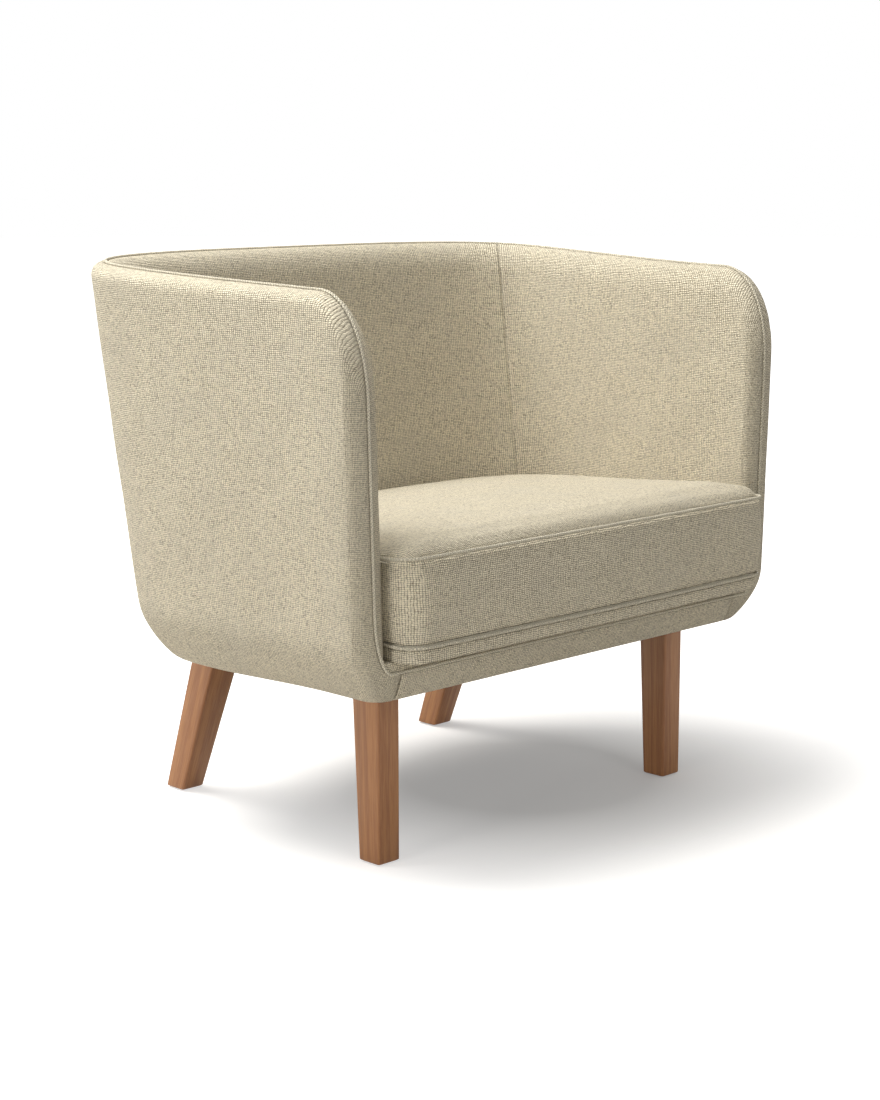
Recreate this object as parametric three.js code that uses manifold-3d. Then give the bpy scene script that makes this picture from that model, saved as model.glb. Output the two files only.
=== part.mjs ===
// Upholstered tub chair: one wrap-round shell, a fixed boxed seat and four wooden legs.
// Millimetres, +Z up, the floor is z = 0, the front faces -Y, left is -X.
// While it is built, y = 0 is the plane of the arm fronts; the last lines centre the depth.

import * as THREE from 'three';
import { mergeVertices } from 'three/addons/utils/BufferGeometryUtils.js';
import Module from 'manifold-3d';

const wasm = await Module();
wasm.setup();

// Clearances and cloth
const clearance = 0.3;
const innerGap = 0.5;
const coverThickness = 2;
const weltRadius = 2.4;
const weltLiftShare = 0.95;
const dustCoverThickness = 1;
const underTurn = 16;

// Shell plan on the seam line that runs along the crown of the wall
const noseHalfWidth = 373.8;
const armBow = 18;
const bowStart = 100;
const shellDepth = 559;
const cornerDepth = 171;
const cornerPower = 3.3;

// Change of the plan from the crown down to the underside
const sideTaper = 15.4;
const backLean = 69.4;
const cornerAdvance = 87.6;

// Shell heights
const undersideHeight = 224;
const armTopHeight = 705.8;
const backRise = 23.9;
const crownPower = 1.5;
const armCornerLength = 76.5;
const armCornerHeight = 127;
const armCornerPower = 2.15;

// Wall section: bulge of the covers on either side of the seam line
const outerBulge = 27.7;
const backBulge = 14;
const bulgeRampShare = 0.45;
const innerBulge = 22;
const noseDepth = 17;
const outerRollHeight = 21;
const outerRollPower = 2.8;
const innerRollHeight = 38;
const innerRollPower = 2;

// Bottom roll of the outer cover
const sideRollInset = 42.6;
const backRollInset = 33.4;
const frontRollInset = 17.5;
const sideRollHeight = 66.4;
const frontRollHeight = 46;
const bottomPower = 1.3;
const underCornerRadius = 24;

// Front rail and the turn of the seam below the arm fronts
const railSeamHeight = 262.5;
const seamTurnWidth = 26;
const seamTurnHeight = 72;
const frontJointInset = 58.8;
const railTopHeight = 277.4;
const railThickness = 18;
const innerCoverFoot = 294;

// Boards inside the shell
const shellBoardInset = 3;
const shellBoardThickness = 6;
const shellBoardFoot = 266;
const foamRollShare = 0.72;
const basePlateThickness = 18;
const plateInset = 2;
const plateBevel = 9;
const plateOpeningMargin = 12;
const plateOpeningRadius = 40;
const sideRailThickness = 22;
const rearRailThickness = 13;
const rearRailTaper = 4.5;
const frontRailEase = 3;
const frontRailChamfer = 8.5;
const cornerBlockWidth = 64;
const cornerBlockDepth = 60;
const cornerBlockShift = 10;
const blockChamferWidth = 34;
const blockChamferDepth = 13;

// Seat
const seatSideGap = 5;
const seatOverhang = 35;
const seatFrontBow = 4;
const seatCornerRadius = 28;
const seatWeltHeight = 402;
const seatBandHeight = 16;
const seatFall = 43;
const seatShoulder = 24;
const shoulderPower = 12;
const seatDome = 9;
const domePower = 2;
const boxingBulge = 6;
const seatBoardThickness = 13;
const seatVentRadius = 16;
const seatVentSpacing = 170;
const bandUnderTurn = 22;
const railEndInset = 49.5;

// Legs and their fittings
const legFoot = 36;
const rearLegSplay = 1;
const frontLegTopDepth = 47.4;
const rearLegTopWidth = 47.8;
const rearLegTopDepth = 46;
const legEdgeRadius = 2.5;
const footChamfer = 2;
const frontLegInset = 70.8;
const frontLegSetback = 70.4;
const rearLegInset = 101;
const rearLegTopInset = 41;
const rearLegRake = 82.4;
const boltRadius = 4;
const boltDepthInLeg = 34;
const boltAboveNut = 6;
const nutRoom = 2;
const teeNutFlangeRadius = 11;
const teeNutFlange = 1.5;
const teeNutBarrelWall = 1.4;
const teeNutBarrel = 12;
const screwRadius = 2.5;
const screwHeadRadius = 5.5;
const screwHead = 3;
const screwBite = 10;
const screwOffset = 29;
const glideRadius = 11;
const glideThickness = 1.5;
const glidePinRadius = 1.5;
const glidePinLength = 12;

// Places derived from the sizes above
const cornerStart = shellDepth - cornerDepth;
const seamHalfGap = weltRadius + innerGap;
const plateBottom = undersideHeight + coverThickness + clearance;
const plateTop = plateBottom + basePlateThickness;
const railBottom = plateTop + clearance;
const bandBottom = railTopHeight + clearance;
const bandTop = bandBottom + seatBandHeight;
const lowWeltHeight = bandTop + clearance + weltRadius;
const boxingBottom = lowWeltHeight + weltRadius + clearance;
const dustCoverTop = undersideHeight - clearance;
const dustCoverBottom = dustCoverTop - dustCoverThickness;
const legTop = dustCoverBottom - clearance;
const boardFace = shellBoardThickness - shellBoardInset;
const frontJointHalfWidth = noseHalfWidth - frontJointInset;
const railHalfLength = noseHalfWidth - railEndInset;
const underHalfWidth = noseHalfWidth - sideTaper + outerBulge - sideRollInset;
const underRear = shellDepth - backLean + backBulge - backRollInset;
const QUARTER = Math.PI / 2;

// Stations of the grids as shares of their own stretch
const noseTurnShares = [0, 0.2, 0.45, 0.72, 1];
const sideShares = [0.06, 0.14, 0.3, 0.53, 0.77, 1];
const innerCornerShares = [0.03, 0.11, 0.2, 0.31];
const backCornerShares = [0.31, 0.42, 0.56, 0.72, 0.86, 1];
const outerCornerShares = [0.03, 0.11, 0.21, 0.31, 0.42, 0.56];
const rearCornerShares = [0.56, 0.72, 0.86, 1];
const rollShares = [0, 0.07, 0.25, 0.55, 1];
const innerWallShares = [0.3, 0.6, 0.85, 1];
const outerWallShares = [0.35, 0.66, 0.86, 0.95, 1];
const bottomRollShares = [0.42, 0.62, 0.8, 1];
const seatFrontShares = [0, 0.35, 0.7, 1];
const seatCornerTurnShares = [0.25, 0.5, 0.75, 1];
const seatSideShares = [0.25, 0.5, 0.75, 1];
const seatRearShares = [0.03, 0.11, 0.2, 0.31, 0.42, 0.56, 0.72, 0.86, 1];
const domeShares = [1, 0.985, 0.95, 0.88, 0.7, 0.4, 0.15];
const railWeltShares = [0, 0.5, 1];
const foamEdgeShare = 0.993;
const edgeTurnShares = [0, 0.5, 1];
const paddingShares = [0.68, 1];
const boxingShares = [0, 0.28, 0.72, 1];
const normalStepShare = 1e-3;

// Numbers of sides of the round pieces
const weltSides = 6;
const holeSides = 12;
const boltSides = 12;
const boreSides = 16;
const pinBoreSides = 10;
const nutSides = 16;
const glideSides = 20;
const screwSides = 10;
const cornerSegments = 3;

const fabric = { color: 0xc9bd9f, roughness: 0.95, metalness: 0 };
const piping = { color: 0xd2c7aa, roughness: 0.95, metalness: 0 };
const wood = { color: 0x9a6238, roughness: 0.5, metalness: 0 };
const board = { color: 0xc8a878, roughness: 0.8, metalness: 0 };
const foam = { color: 0xe6dfc8, roughness: 1, metalness: 0 };
const steel = { color: 0xb4b4b0, roughness: 0.35, metalness: 0.9 };
const gauze = { color: 0x26241f, roughness: 1, metalness: 0 };
const nylon = { color: 0x3a3530, roughness: 0.6, metalness: 0 };

const chair = new THREE.Group();
const lerp = THREE.MathUtils.lerp;

function add(name, geometry, look) {
  const mesh = new THREE.Mesh(geometry, new THREE.MeshStandardMaterial(look));
  mesh.name = name;
  chair.add(mesh);
  return mesh;
}

// Closed bodies from grids, rings and sections

function signedVolume(points, faces) {
  const cross = new THREE.Vector3();
  let sum = 0;
  for (const [a, b, c] of faces) {
    sum += points[a].dot(cross.crossVectors(points[b], points[c]));
  }
  return sum;
}

function body(points, faces) {
  const flip = signedVolume(points, faces) < 0;
  const geometry = new THREE.BufferGeometry();
  geometry.setFromPoints(points);
  geometry.setIndex(faces.flatMap(([a, b, c]) => (flip ? [a, c, b] : [a, b, c])));
  geometry.computeVertexNormals();
  return geometry;
}

// A sheet with thickness: two grids of the same columns and rows, joined round the rim.
function sheetBody(front, back) {
  const columns = front.length;
  const rows = front[0].length;
  const points = [...front.flat(), ...back.flat()];
  const at = (side, i, j) => side * columns * rows + i * rows + j;
  const faces = [];
  const quad = (a, b, c, d) => faces.push([a, b, c], [a, c, d]);
  for (let i = 0; i + 1 < columns; i++) {
    for (let j = 0; j + 1 < rows; j++) {
      quad(at(0, i, j), at(0, i + 1, j), at(0, i + 1, j + 1), at(0, i, j + 1));
      faces.push([at(1, i, j), at(1, i + 1, j + 1), at(1, i + 1, j)]);
      faces.push([at(1, i, j), at(1, i, j + 1), at(1, i + 1, j + 1)]);
    }
  }
  for (let i = 0; i + 1 < columns; i++) {
    quad(at(1, i, 0), at(1, i + 1, 0), at(0, i + 1, 0), at(0, i, 0));
    quad(at(0, i, rows - 1), at(0, i + 1, rows - 1), at(1, i + 1, rows - 1), at(1, i, rows - 1));
  }
  for (let j = 0; j + 1 < rows; j++) {
    quad(at(0, 0, j), at(0, 0, j + 1), at(1, 0, j + 1), at(1, 0, j));
    quad(at(1, columns - 1, j), at(1, columns - 1, j + 1), at(0, columns - 1, j + 1), at(0, columns - 1, j));
  }
  return body(points, faces);
}

// Rings of equal length joined in order, then back to the first or closed by caps.
function ringBody(rings, wraps) {
  const size = rings[0].length;
  const points = rings.flat();
  const faces = [];
  const spans = wraps ? rings.length : rings.length - 1;
  for (let r = 0; r < spans; r++) {
    const low = r * size;
    const high = ((r + 1) % rings.length) * size;
    for (let k = 0; k < size; k++) {
      const next = (k + 1) % size;
      faces.push([low + k, low + next, high + next], [low + k, high + next, high + k]);
    }
  }
  if (!wraps) {
    const flat = rings[0].map((p) => new THREE.Vector2(p.x, p.y));
    const last = (rings.length - 1) * size;
    const turn = THREE.ShapeUtils.isClockWise(flat) ? 1 : -1;
    for (const [a, b, c] of THREE.ShapeUtils.triangulateShape(flat, [])) {
      faces.push(turn > 0 ? [a, b, c] : [a, c, b]);
      faces.push(turn > 0 ? [last + a, last + c, last + b] : [last + a, last + b, last + c]);
    }
  }
  return body(points, faces);
}

function mirrored(geometry) {
  const copy = geometry.clone();
  copy.scale(-1, 1, 1);
  const index = Array.from(copy.index.array);
  for (let k = 0; k < index.length; k += 3) {
    [index[k + 1], index[k + 2]] = [index[k + 2], index[k + 1]];
  }
  copy.setIndex(index);
  copy.computeVertexNormals();
  return copy;
}

function addPair(name, geometry, look) {
  add(name + '_right', geometry, look);
  add(name + '_left', mirrored(geometry), look);
}

// A grid moved in below the face it shows; facing is 1 for inner faces and -1 for outer ones.
function sunk(grid, depth, facing) {
  const last = grid.length - 1;
  const end = grid[0].length - 1;
  return grid.map((column, i) => column.map((point, j) => {
    const along = grid[Math.min(i + 1, last)][j].clone().sub(grid[Math.max(i - 1, 0)][j]);
    const down = column[Math.min(j + 1, end)].clone().sub(column[Math.max(j - 1, 0)]);
    const normal = along.cross(down).normalize().multiplyScalar(facing);
    return point.clone().addScaledVector(normal, -depth);
  }));
}

// Boolean cuts

function solidOf(geometry) {
  const plain = geometry.clone();
  plain.deleteAttribute('normal');
  if (plain.attributes.uv) {
    plain.deleteAttribute('uv');
  }
  const merged = mergeVertices(plain);
  return new wasm.Manifold(new wasm.Mesh({
    numProp: 3,
    vertProperties: new Float32Array(merged.attributes.position.array),
    triVerts: new Uint32Array(merged.index.array),
  }));
}

function geometryOf(solid) {
  const mesh = solid.getMesh();
  const geometry = new THREE.BufferGeometry();
  geometry.setAttribute('position', new THREE.BufferAttribute(mesh.vertProperties, 3));
  geometry.setIndex(new THREE.BufferAttribute(mesh.triVerts, 1));
  geometry.computeVertexNormals();
  return geometry;
}

// Shell: plan, crown and wall

function crownHeight(y) {
  return armTopHeight + backRise * (Math.max(y, 0) / shellDepth) ** crownPower;
}

// Height of the seam line over a place on the arm, rounded down to the arm front.
function edgeHeight(y) {
  const top = crownHeight(y);
  if (y >= armCornerLength) {
    return top;
  }
  const run = (1 - y / armCornerLength) ** armCornerPower;
  return top - armCornerHeight * (1 - (1 - run) ** (1 / armCornerPower));
}

// Set-back of the seam line from the arm front at a height.
function edgeSetback(z) {
  const foot = crownHeight(armCornerLength) - armCornerHeight;
  const rise = Math.min(Math.max((z - foot) / armCornerHeight, 0), 1) ** armCornerPower;
  return armCornerLength * (1 - (1 - rise) ** (1 / armCornerPower));
}

function levelOf(crown, z) {
  return (crown - z) / (crown - undersideHeight);
}

// A column of the wall: kind 'nose' or 'side' or 'corner' with its share of that stretch.
function nose(share) {
  return { kind: 'nose', share };
}

function side(share) {
  return { kind: 'side', share };
}

function corner(share) {
  return { kind: 'corner', share };
}

function columnCrown(column) {
  if (column.kind === 'nose') {
    return crownHeight(noseDepth * (1 - Math.cos(column.share * QUARTER)));
  }
  if (column.kind === 'side') {
    return crownHeight(lerp(noseDepth, cornerStart, column.share));
  }
  const turn = Math.min(column.share, 2 - column.share) * QUARTER;
  return crownHeight(cornerStart + cornerDepth * Math.sin(turn) ** (2 / cornerPower));
}

// Plan point of the seam surface at a height, for any column.
function planPoint(column, z) {
  const level = levelOf(columnCrown(column), z);
  const start = cornerStart - cornerAdvance * level;
  const half = noseHalfWidth - sideTaper * level;
  if (column.kind !== 'corner') {
    const setback = noseDepth * (1 - Math.cos(column.share * QUARTER));
    const y = column.kind === 'nose' ? setback : lerp(noseDepth, start, column.share);
    return new THREE.Vector2(half + armBow * THREE.MathUtils.smoothstep(y, bowStart, start), y);
  }
  const mirror = column.share > 1 ? -1 : 1;
  const turn = Math.min(column.share, 2 - column.share) * QUARTER;
  const depth = shellDepth - backLean * level - start;
  const across = (half + armBow) * Math.max(Math.cos(turn), 0) ** (2 / cornerPower);
  return new THREE.Vector2(mirror * across, start + depth * Math.sin(turn) ** (2 / cornerPower));
}

// Horizontal normal of the seam surface, pointing out of the chair.
function planNormal(column, z) {
  if (column.kind !== 'corner' && column.share < 1) {
    const here = planPoint(column, z);
    const next = planPoint({ kind: column.kind, share: column.share + normalStepShare }, z);
    const along = column.share > 0 || column.kind === 'side'
      ? next.sub(here) : new THREE.Vector2(0, 1);
    return new THREE.Vector2(along.y, -along.x).normalize();
  }
  if (column.kind === 'nose' || column.kind === 'side') {
    return new THREE.Vector2(1, 0);
  }
  const before = planPoint(corner(Math.max(column.share - normalStepShare, 0)), z);
  const after = planPoint(corner(Math.min(column.share + normalStepShare, 2)), z);
  const along = after.sub(before);
  return new THREE.Vector2(along.y, -along.x).normalize();
}

// Point at an offset from the seam surface, outwards positive.
function wallPoint(column, z, offset) {
  const at = planPoint(column, z).addScaledVector(planNormal(column, z), offset);
  return new THREE.Vector3(at.x, at.y, z);
}

// How full the bulge is at a place: 0 on the seam line, 1 past both rolls.
function fullness(column, z, rollHeight, power) {
  const y = planPoint(column, z).y;
  const setback = column.kind === 'corner' ? 1 : (y - edgeSetback(z)) / noseDepth;
  const drop = (columnTop(column) - z) / rollHeight;
  const inNose = 1 - (1 - Math.min(Math.max(setback, 0), 1)) ** power;
  const inRoll = 1 - (1 - Math.min(Math.max(drop, 0), 1)) ** power;
  return Math.sqrt(inNose * inRoll);
}

// The outside bulges most on the arms and eases to the flatter back over the rear corner.
function bulgeOf(column) {
  if (column.kind !== 'corner') {
    return outerBulge;
  }
  const turn = Math.min(column.share, 2 - column.share);
  return lerp(outerBulge, backBulge, THREE.MathUtils.smoothstep(turn, 0, bulgeRampShare));
}

// Offset of the outer face at a height: from the seam's border to the full bulge.
function outerOffset(column, z) {
  const full = fullness(column, z, outerRollHeight, outerRollPower);
  return seamHalfGap + (bulgeOf(column) - seamHalfGap) * full;
}

// Height of the seam line over a column; the side columns lean, so it is found on the way up.
function columnTop(column) {
  if (column.kind === 'corner') {
    return columnCrown(column);
  }
  let top = columnCrown(column);
  for (let pass = 0; pass < 4; pass++) {
    top = edgeHeight(planPoint(column, top).y);
  }
  return top;
}

// Heights of a column's rows: over the roll, then down the wall to the foot.
function rowHeights(column, rollHeight, foot, wallShares) {
  const top = columnTop(column);
  const heights = rollShares.map((share) => top - rollHeight * share);
  const from = heights[heights.length - 1];
  return [...heights, ...wallShares.map((share) => lerp(from, foot, share))];
}

// Offset of the seam line on the arm front, or of a border that keeps a spread from it.
// Below the arm it turns in on an ellipse and runs along the rail.
function seamOffset(z, spread) {
  const centre = railSeamHeight + seamTurnHeight;
  const drop = (centre - z) / (seamTurnHeight + spread);
  if (drop <= 0) {
    return spread;
  }
  return (seamTurnWidth + spread) * Math.sqrt(Math.max(1 - drop * drop, 0)) - seamTurnWidth;
}

const noseColumns = noseTurnShares.map(nose);
const armColumns = [...noseColumns, ...sideShares.map(side)];
const jointShare = clearance / cornerDepth;

function shifted(shares, first, last) {
  return shares.map((share, k) => (
    corner(share + (k === 0 ? first : 0) + (k === shares.length - 1 ? last : 0))));
}

function mirroredShares(shares) {
  return [...shares, ...shares.slice(0, -1).reverse().map((share) => 2 - share)];
}

const innerArmColumns = [...armColumns, ...shifted(innerCornerShares, 0, -jointShare)];
const innerBackColumns = shifted(mirroredShares(backCornerShares), jointShare, -jointShare);
const outerArmColumns = [...armColumns, ...shifted(outerCornerShares, 0, -jointShare)];
const outerBackColumns = shifted(mirroredShares(rearCornerShares), jointShare, -jointShare);

// Inner covers and the foam behind them

function innerRows(column) {
  return rowHeights(column, innerRollHeight, innerCoverFoot, innerWallShares);
}

function innerGrid(columns) {
  return columns.map((column) => innerRows(column).map((z) => {
    if (column.kind === 'nose' && column.share === 0) {
      return wallPoint(column, z, seamOffset(z, -seamHalfGap));
    }
    const full = fullness(column, z, innerRollHeight, innerRollPower);
    return wallPoint(column, z, -(seamHalfGap + (innerBulge - seamHalfGap) * full));
  }));
}

// The foam's back lies on the shell board and rolls over its edge.
function innerFoamBack(columns) {
  const past = -shellBoardInset - innerGap;
  const sink = (coverThickness + clearance) * 2.5;
  const rollEnd = rollShares.length - 1;
  return columns.map((column) => innerRows(column).map((z, j) => {
    const inNose = column.kind === 'nose' ? 1 - column.share : 0;
    const inRoll = Math.max(1 - j / (rollEnd - 1), 0);
    const atSeam = inNose === 1 || inRoll === 1;
    const outer = foamRollShare * (outerOffset(column, z) - seamHalfGap) - coverThickness;
    const overEdge = inNose > 0 || columnTop(column) - z < outerRollHeight / 2;
    const rolled = overEdge ? outer : Math.min(outer, boardFace);
    const overBoard = j <= rollEnd || column.kind === 'nose';
    const offset = atSeam ? seamOffset(z, -weltRadius) : Math.max(rolled, -weltRadius);
    const point = wallPoint(column, z - sink * inRoll, overBoard ? offset : past);
    point.y += sink * inNose;
    return point;
  }));
}

function innerPieces(columns) {
  const face = innerGrid(columns);
  const cover = sheetBody(face, sunk(face, coverThickness, 1));
  const padding = sheetBody(sunk(face, coverThickness + clearance, 1), innerFoamBack(columns));
  return { cover, padding };
}

const innerArm = innerPieces(innerArmColumns);
const innerBack = innerPieces(innerBackColumns);
addPair('inner_cover', innerArm.cover, fabric);
add('inner_cover_back', innerBack.cover, fabric);
addPair('inner_foam', innerArm.padding, foam);
add('inner_foam_back', innerBack.padding, foam);

// Outer covers, with the bottom roll and the margin turned under

function rollInset(column) {
  if (column.kind === 'nose') {
    return lerp(frontRollInset, sideRollInset, Math.sin(column.share * QUARTER));
  }
  if (column.kind === 'side') {
    return sideRollInset;
  }
  return lerp(sideRollInset, backRollInset, Math.min(column.share, 2 - column.share));
}

function rollHeight(column) {
  const turn = column.kind === 'nose' ? Math.sin(column.share * QUARTER) : 1;
  return lerp(frontRollHeight, sideRollHeight, turn);
}

// Plan point of the underside edge, further in by the extra amount.
function underPoint(column, extra) {
  const z = undersideHeight;
  if (column.kind === 'corner') {
    return wallPoint(column, z, bulgeOf(column) - rollInset(column) - extra);
  }
  if (column.kind === 'side') {
    const start = frontRollInset + underCornerRadius - noseDepth;
    const first = start / (cornerStart - cornerAdvance - noseDepth);
    return wallPoint(side(lerp(first, 1, column.share)), z, outerBulge - sideRollInset - extra);
  }
  const sideLine = wallPoint(side(0), z, outerBulge - sideRollInset - extra).x;
  const radius = underCornerRadius - extra;
  const centre = new THREE.Vector2(sideLine - radius, frontRollInset + extra + radius);
  const turn = column.share * QUARTER;
  return new THREE.Vector3(centre.x + radius * Math.sin(turn), centre.y - radius * Math.cos(turn), z);
}

// A superelliptic quarter: the shares of inset and height used up at a share of its turn.
function rollTurn(share) {
  const turn = share * QUARTER;
  const inwards = 1 - Math.max(Math.cos(turn), 0) ** (2 / bottomPower);
  return [inwards, Math.sin(turn) ** (2 / bottomPower)];
}

function rollShareAt(drop) {
  return Math.asin((drop / frontRollHeight) ** (bottomPower / 2)) / QUARTER;
}

// The first two shares bracket the level where the seam line turns along the rail.
function bottomShares() {
  const drop = undersideHeight + frontRollHeight - (railSeamHeight - seamHalfGap);
  return [rollShareAt(drop - clearance), rollShareAt(drop), ...bottomRollShares];
}

function outerColumn(column) {
  const foot = undersideHeight + rollHeight(column);
  const points = rowHeights(column, outerRollHeight, foot, outerWallShares).map((z) => (
    wallPoint(column, z, outerOffset(column, z))));
  const wall = points[points.length - 1];
  const under = underPoint(column, 0);
  for (const share of bottomShares()) {
    const [inwards, down] = rollTurn(share);
    const point = wall.clone().lerp(under, inwards);
    point.z = foot - rollHeight(column) * down;
    points.push(point);
  }
  points.push(underPoint(column, underTurn));
  return points;
}

// The cover's front border: up the joint with the rail cover, then along the seam line.
function frontBorder() {
  const turnHeight = railSeamHeight - seamHalfGap + clearance / 2;
  return outerColumn(nose(0)).map((point) => {
    const at = point.clone();
    if (at.z < turnHeight) {
      at.x = frontJointHalfWidth + clearance;
    } else {
      at.x += seamOffset(at.z, seamHalfGap) - seamHalfGap;
    }
    return at;
  });
}

function outerGrid(columns) {
  return columns.map((column, i) => (
    column.kind === 'nose' && column.share === 0
      ? frontBorder() : outerColumn(column)));
}

const outerArmFace = outerGrid(outerArmColumns);
const outerBackFace = outerGrid(outerBackColumns);
const outerArmBack = sunk(outerArmFace, coverThickness, -1);
for (const point of outerArmBack[0]) {
  point.x = Math.max(point.x, frontJointHalfWidth + clearance);
}
addPair('outer_cover', sheetBody(outerArmFace, outerArmBack), fabric);

// Outer padding between the shell board and the outer cover

function paddingRows(column) {
  const top = columnTop(column) - outerRollHeight;
  const foot = undersideHeight + sideRollHeight;
  return [0, outerWallShares[0], ...paddingShares].map((share) => lerp(top, foot, share));
}

function paddingBody(columns) {
  const face = columns.map((column) => paddingRows(column).map((z) => (
    wallPoint(column, z, outerOffset(column, z)))));
  const back = columns.map((column) => paddingRows(column).map((z) => (
    wallPoint(column, z, boardFace + innerGap))));
  return sheetBody(sunk(face, coverThickness + clearance, -1), back);
}

const wallOnly = (columns) => columns.filter((column) => column.kind !== 'nose' || column.share === 1);
addPair('outer_padding', paddingBody(wallOnly(outerArmColumns)), foam);
add('outer_padding_back', paddingBody(outerBackColumns), foam);

// Shell boards: bent panels that carry the foam, standing outside the base rails

function boardRows(column) {
  return [...innerRows(column).slice(rollShares.length), shellBoardFoot];
}

function boardBody(columns) {
  const layer = (offset) => columns.map((column) => (
    boardRows(column).map((z) => wallPoint(column, z, offset))));
  return sheetBody(layer(-shellBoardInset), layer(boardFace));
}

const boardArmColumns = innerArmColumns.filter((column) => column.kind !== 'nose').slice(1);
addPair('shell_board', boardBody(boardArmColumns), board);
add('shell_board_back', boardBody(innerBackColumns), board);

// Rail covers: the panel below the seam line and the strip above it

function frontRoll(share) {
  const [inwards, down] = rollTurn(share);
  return [frontRollInset * inwards, undersideHeight + frontRollHeight * (1 - down)];
}

const panelProfile = bottomShares().slice(1).map(frontRoll);
panelProfile.push([frontRollInset + underTurn, undersideHeight]);
const panelFace = [-frontJointHalfWidth, frontJointHalfWidth].map((x) => (
  panelProfile.map(([y, z]) => new THREE.Vector3(x, y, z))));
add('front_cover', sheetBody(panelFace, sunk(panelFace, coverThickness, -1)), fabric);

const stripHeights = [railTopHeight, (railTopHeight + railSeamHeight) / 2, railSeamHeight + seamHalfGap];
const stripFace = [-1, 1].map((hand) => stripHeights.map((z) => {
  const end = planPoint(nose(0), z).x + seamOffset(z, -seamHalfGap) - clearance * 2;
  return new THREE.Vector3(hand * end, 0, z);
}));
add('rail_cover', sheetBody(stripFace, sunk(stripFace, coverThickness, -1)), fabric);

// Piping: a round cord in cloth swept along a closed line

function loopTube(points, sides, radius, lift) {
  const count = points.length;
  const rings = points.map((point, k) => {
    const along = points[(k + 1) % count].clone().sub(points[(k + count - 1) % count]).normalize();
    const out = sides[k].clone().addScaledVector(along, -sides[k].dot(along)).normalize();
    const over = along.clone().cross(out);
    const centre = point.clone().addScaledVector(over, -lift);
    return weltTurns.map((turn) => centre.clone()
      .addScaledVector(out, radius * Math.cos(turn)).addScaledVector(over, radius * Math.sin(turn)));
  });
  return ringBody(rings, true);
}

const weltTurns = Array.from({ length: weltSides }, (_, k) => k * 4 * QUARTER / weltSides);

function acrossX(point) {
  return new THREE.Vector3(-point.x, point.y, point.z);
}

// The seam line of the right half: rail, turn, arm front, crown, to the middle of the back.
function seamHalf() {
  const points = [];
  const sides = [];
  const turnStart = planPoint(nose(0), railSeamHeight).x - seamTurnWidth;
  for (const share of railWeltShares) {
    points.push(new THREE.Vector3(turnStart * share, 0, railSeamHeight));
    sides.push(new THREE.Vector3(0, 0, -1));
  }
  for (const point of frontBorder().reverse().filter((p) => p.z > railSeamHeight)) {
    points.push(wallPoint(nose(0), point.z, seamOffset(point.z, 0)));
    const drop = Math.max((railSeamHeight + seamTurnHeight - point.z) / seamTurnHeight, 0);
    sides.push(new THREE.Vector3(1, 0, -drop).normalize());
  }
  for (const column of [...outerArmColumns.slice(1), ...rearCornerShares.slice(1).map(corner)]) {
    const top = columnTop(column);
    points.push(wallPoint(column, top, 0));
    const out = planNormal(column, top);
    sides.push(new THREE.Vector3(out.x, out.y, 0));
  }
  return { points, sides };
}

const seamRight = seamHalf();
const seamPoints = [...seamRight.points, ...seamRight.points.slice(1, -1).reverse().map(acrossX)];
const seamSides = [...seamRight.sides, ...seamRight.sides.slice(1, -1).reverse().map(acrossX)];
add('shell_piping', loopTube(seamPoints, seamSides, weltRadius, weltRadius * weltLiftShare), piping);

// Dust cover and base plate, cut to the underside of the shell

function underOutline(extra) {
  const columns = [...outerArmColumns, ...rearCornerShares.slice(1).map(corner)];
  const half = columns.map((column) => underPoint(column, extra));
  const left = half.slice(0, -1).reverse().map(acrossX);
  return [...half, ...left].map((p) => new THREE.Vector2(p.x, p.y));
}

// A round hole as a polygon whose flats touch the circle.
function hole(x, y, radius) {
  const reach = radius / Math.cos(2 * QUARTER / holeSides);
  const points = Array.from({ length: holeSides }, (_, k) => {
    const turn = -k * 4 * QUARTER / holeSides;
    return new THREE.Vector2(x + reach * Math.cos(turn), y + reach * Math.sin(turn));
  });
  return new THREE.Path(points);
}

function plateFrom(outline, holes, thickness, bottom, segments) {
  const anticlockwise = THREE.ShapeUtils.isClockWise(outline) ? outline.toReversed() : outline;
  const shape = new THREE.Shape(anticlockwise);
  shape.holes.push(...holes);
  const options = { depth: thickness, bevelEnabled: false, curveSegments: segments };
  const geometry = new THREE.ExtrudeGeometry(shape, options);
  geometry.translate(0, 0, bottom);
  return geometry;
}

const legs = [];
for (const [hand, sideName] of [[1, 'right'], [-1, 'left']]) {
  const frontX = underHalfWidth - frontLegInset;
  legs.push({
    name: 'front_' + sideName,
    foot: new THREE.Vector2(hand * frontX, frontLegSetback + legFoot / 2),
    top: new THREE.Vector2(hand * frontX, frontLegSetback + frontLegTopDepth / 2),
    topSize: new THREE.Vector2(legFoot, frontLegTopDepth),
    inward: 1,
  });
  const rearX = underHalfWidth - rearLegInset;
  const rearTop = underRear - rearLegTopInset;
  legs.push({
    name: 'rear_' + sideName,
    foot: new THREE.Vector2(hand * rearX, rearTop + rearLegRake),
    top: new THREE.Vector2(hand * (rearX - rearLegSplay), rearTop),
    topSize: new THREE.Vector2(rearLegTopWidth, rearLegTopDepth),
    inward: -1,
  });
}

// The bolt stands where the leg's middle is halfway down the bolt.
const legBottom = glideThickness + clearance;
for (const leg of legs) {
  const share = boltDepthInLeg / 2 / (legTop - legBottom);
  leg.bolt = leg.top.clone().lerp(leg.foot, share);
  leg.screw = leg.bolt.clone().setY(leg.bolt.y + leg.inward * screwOffset);
  leg.block = leg.bolt.clone().setY(leg.bolt.y + leg.inward * cornerBlockShift);
}

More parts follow.
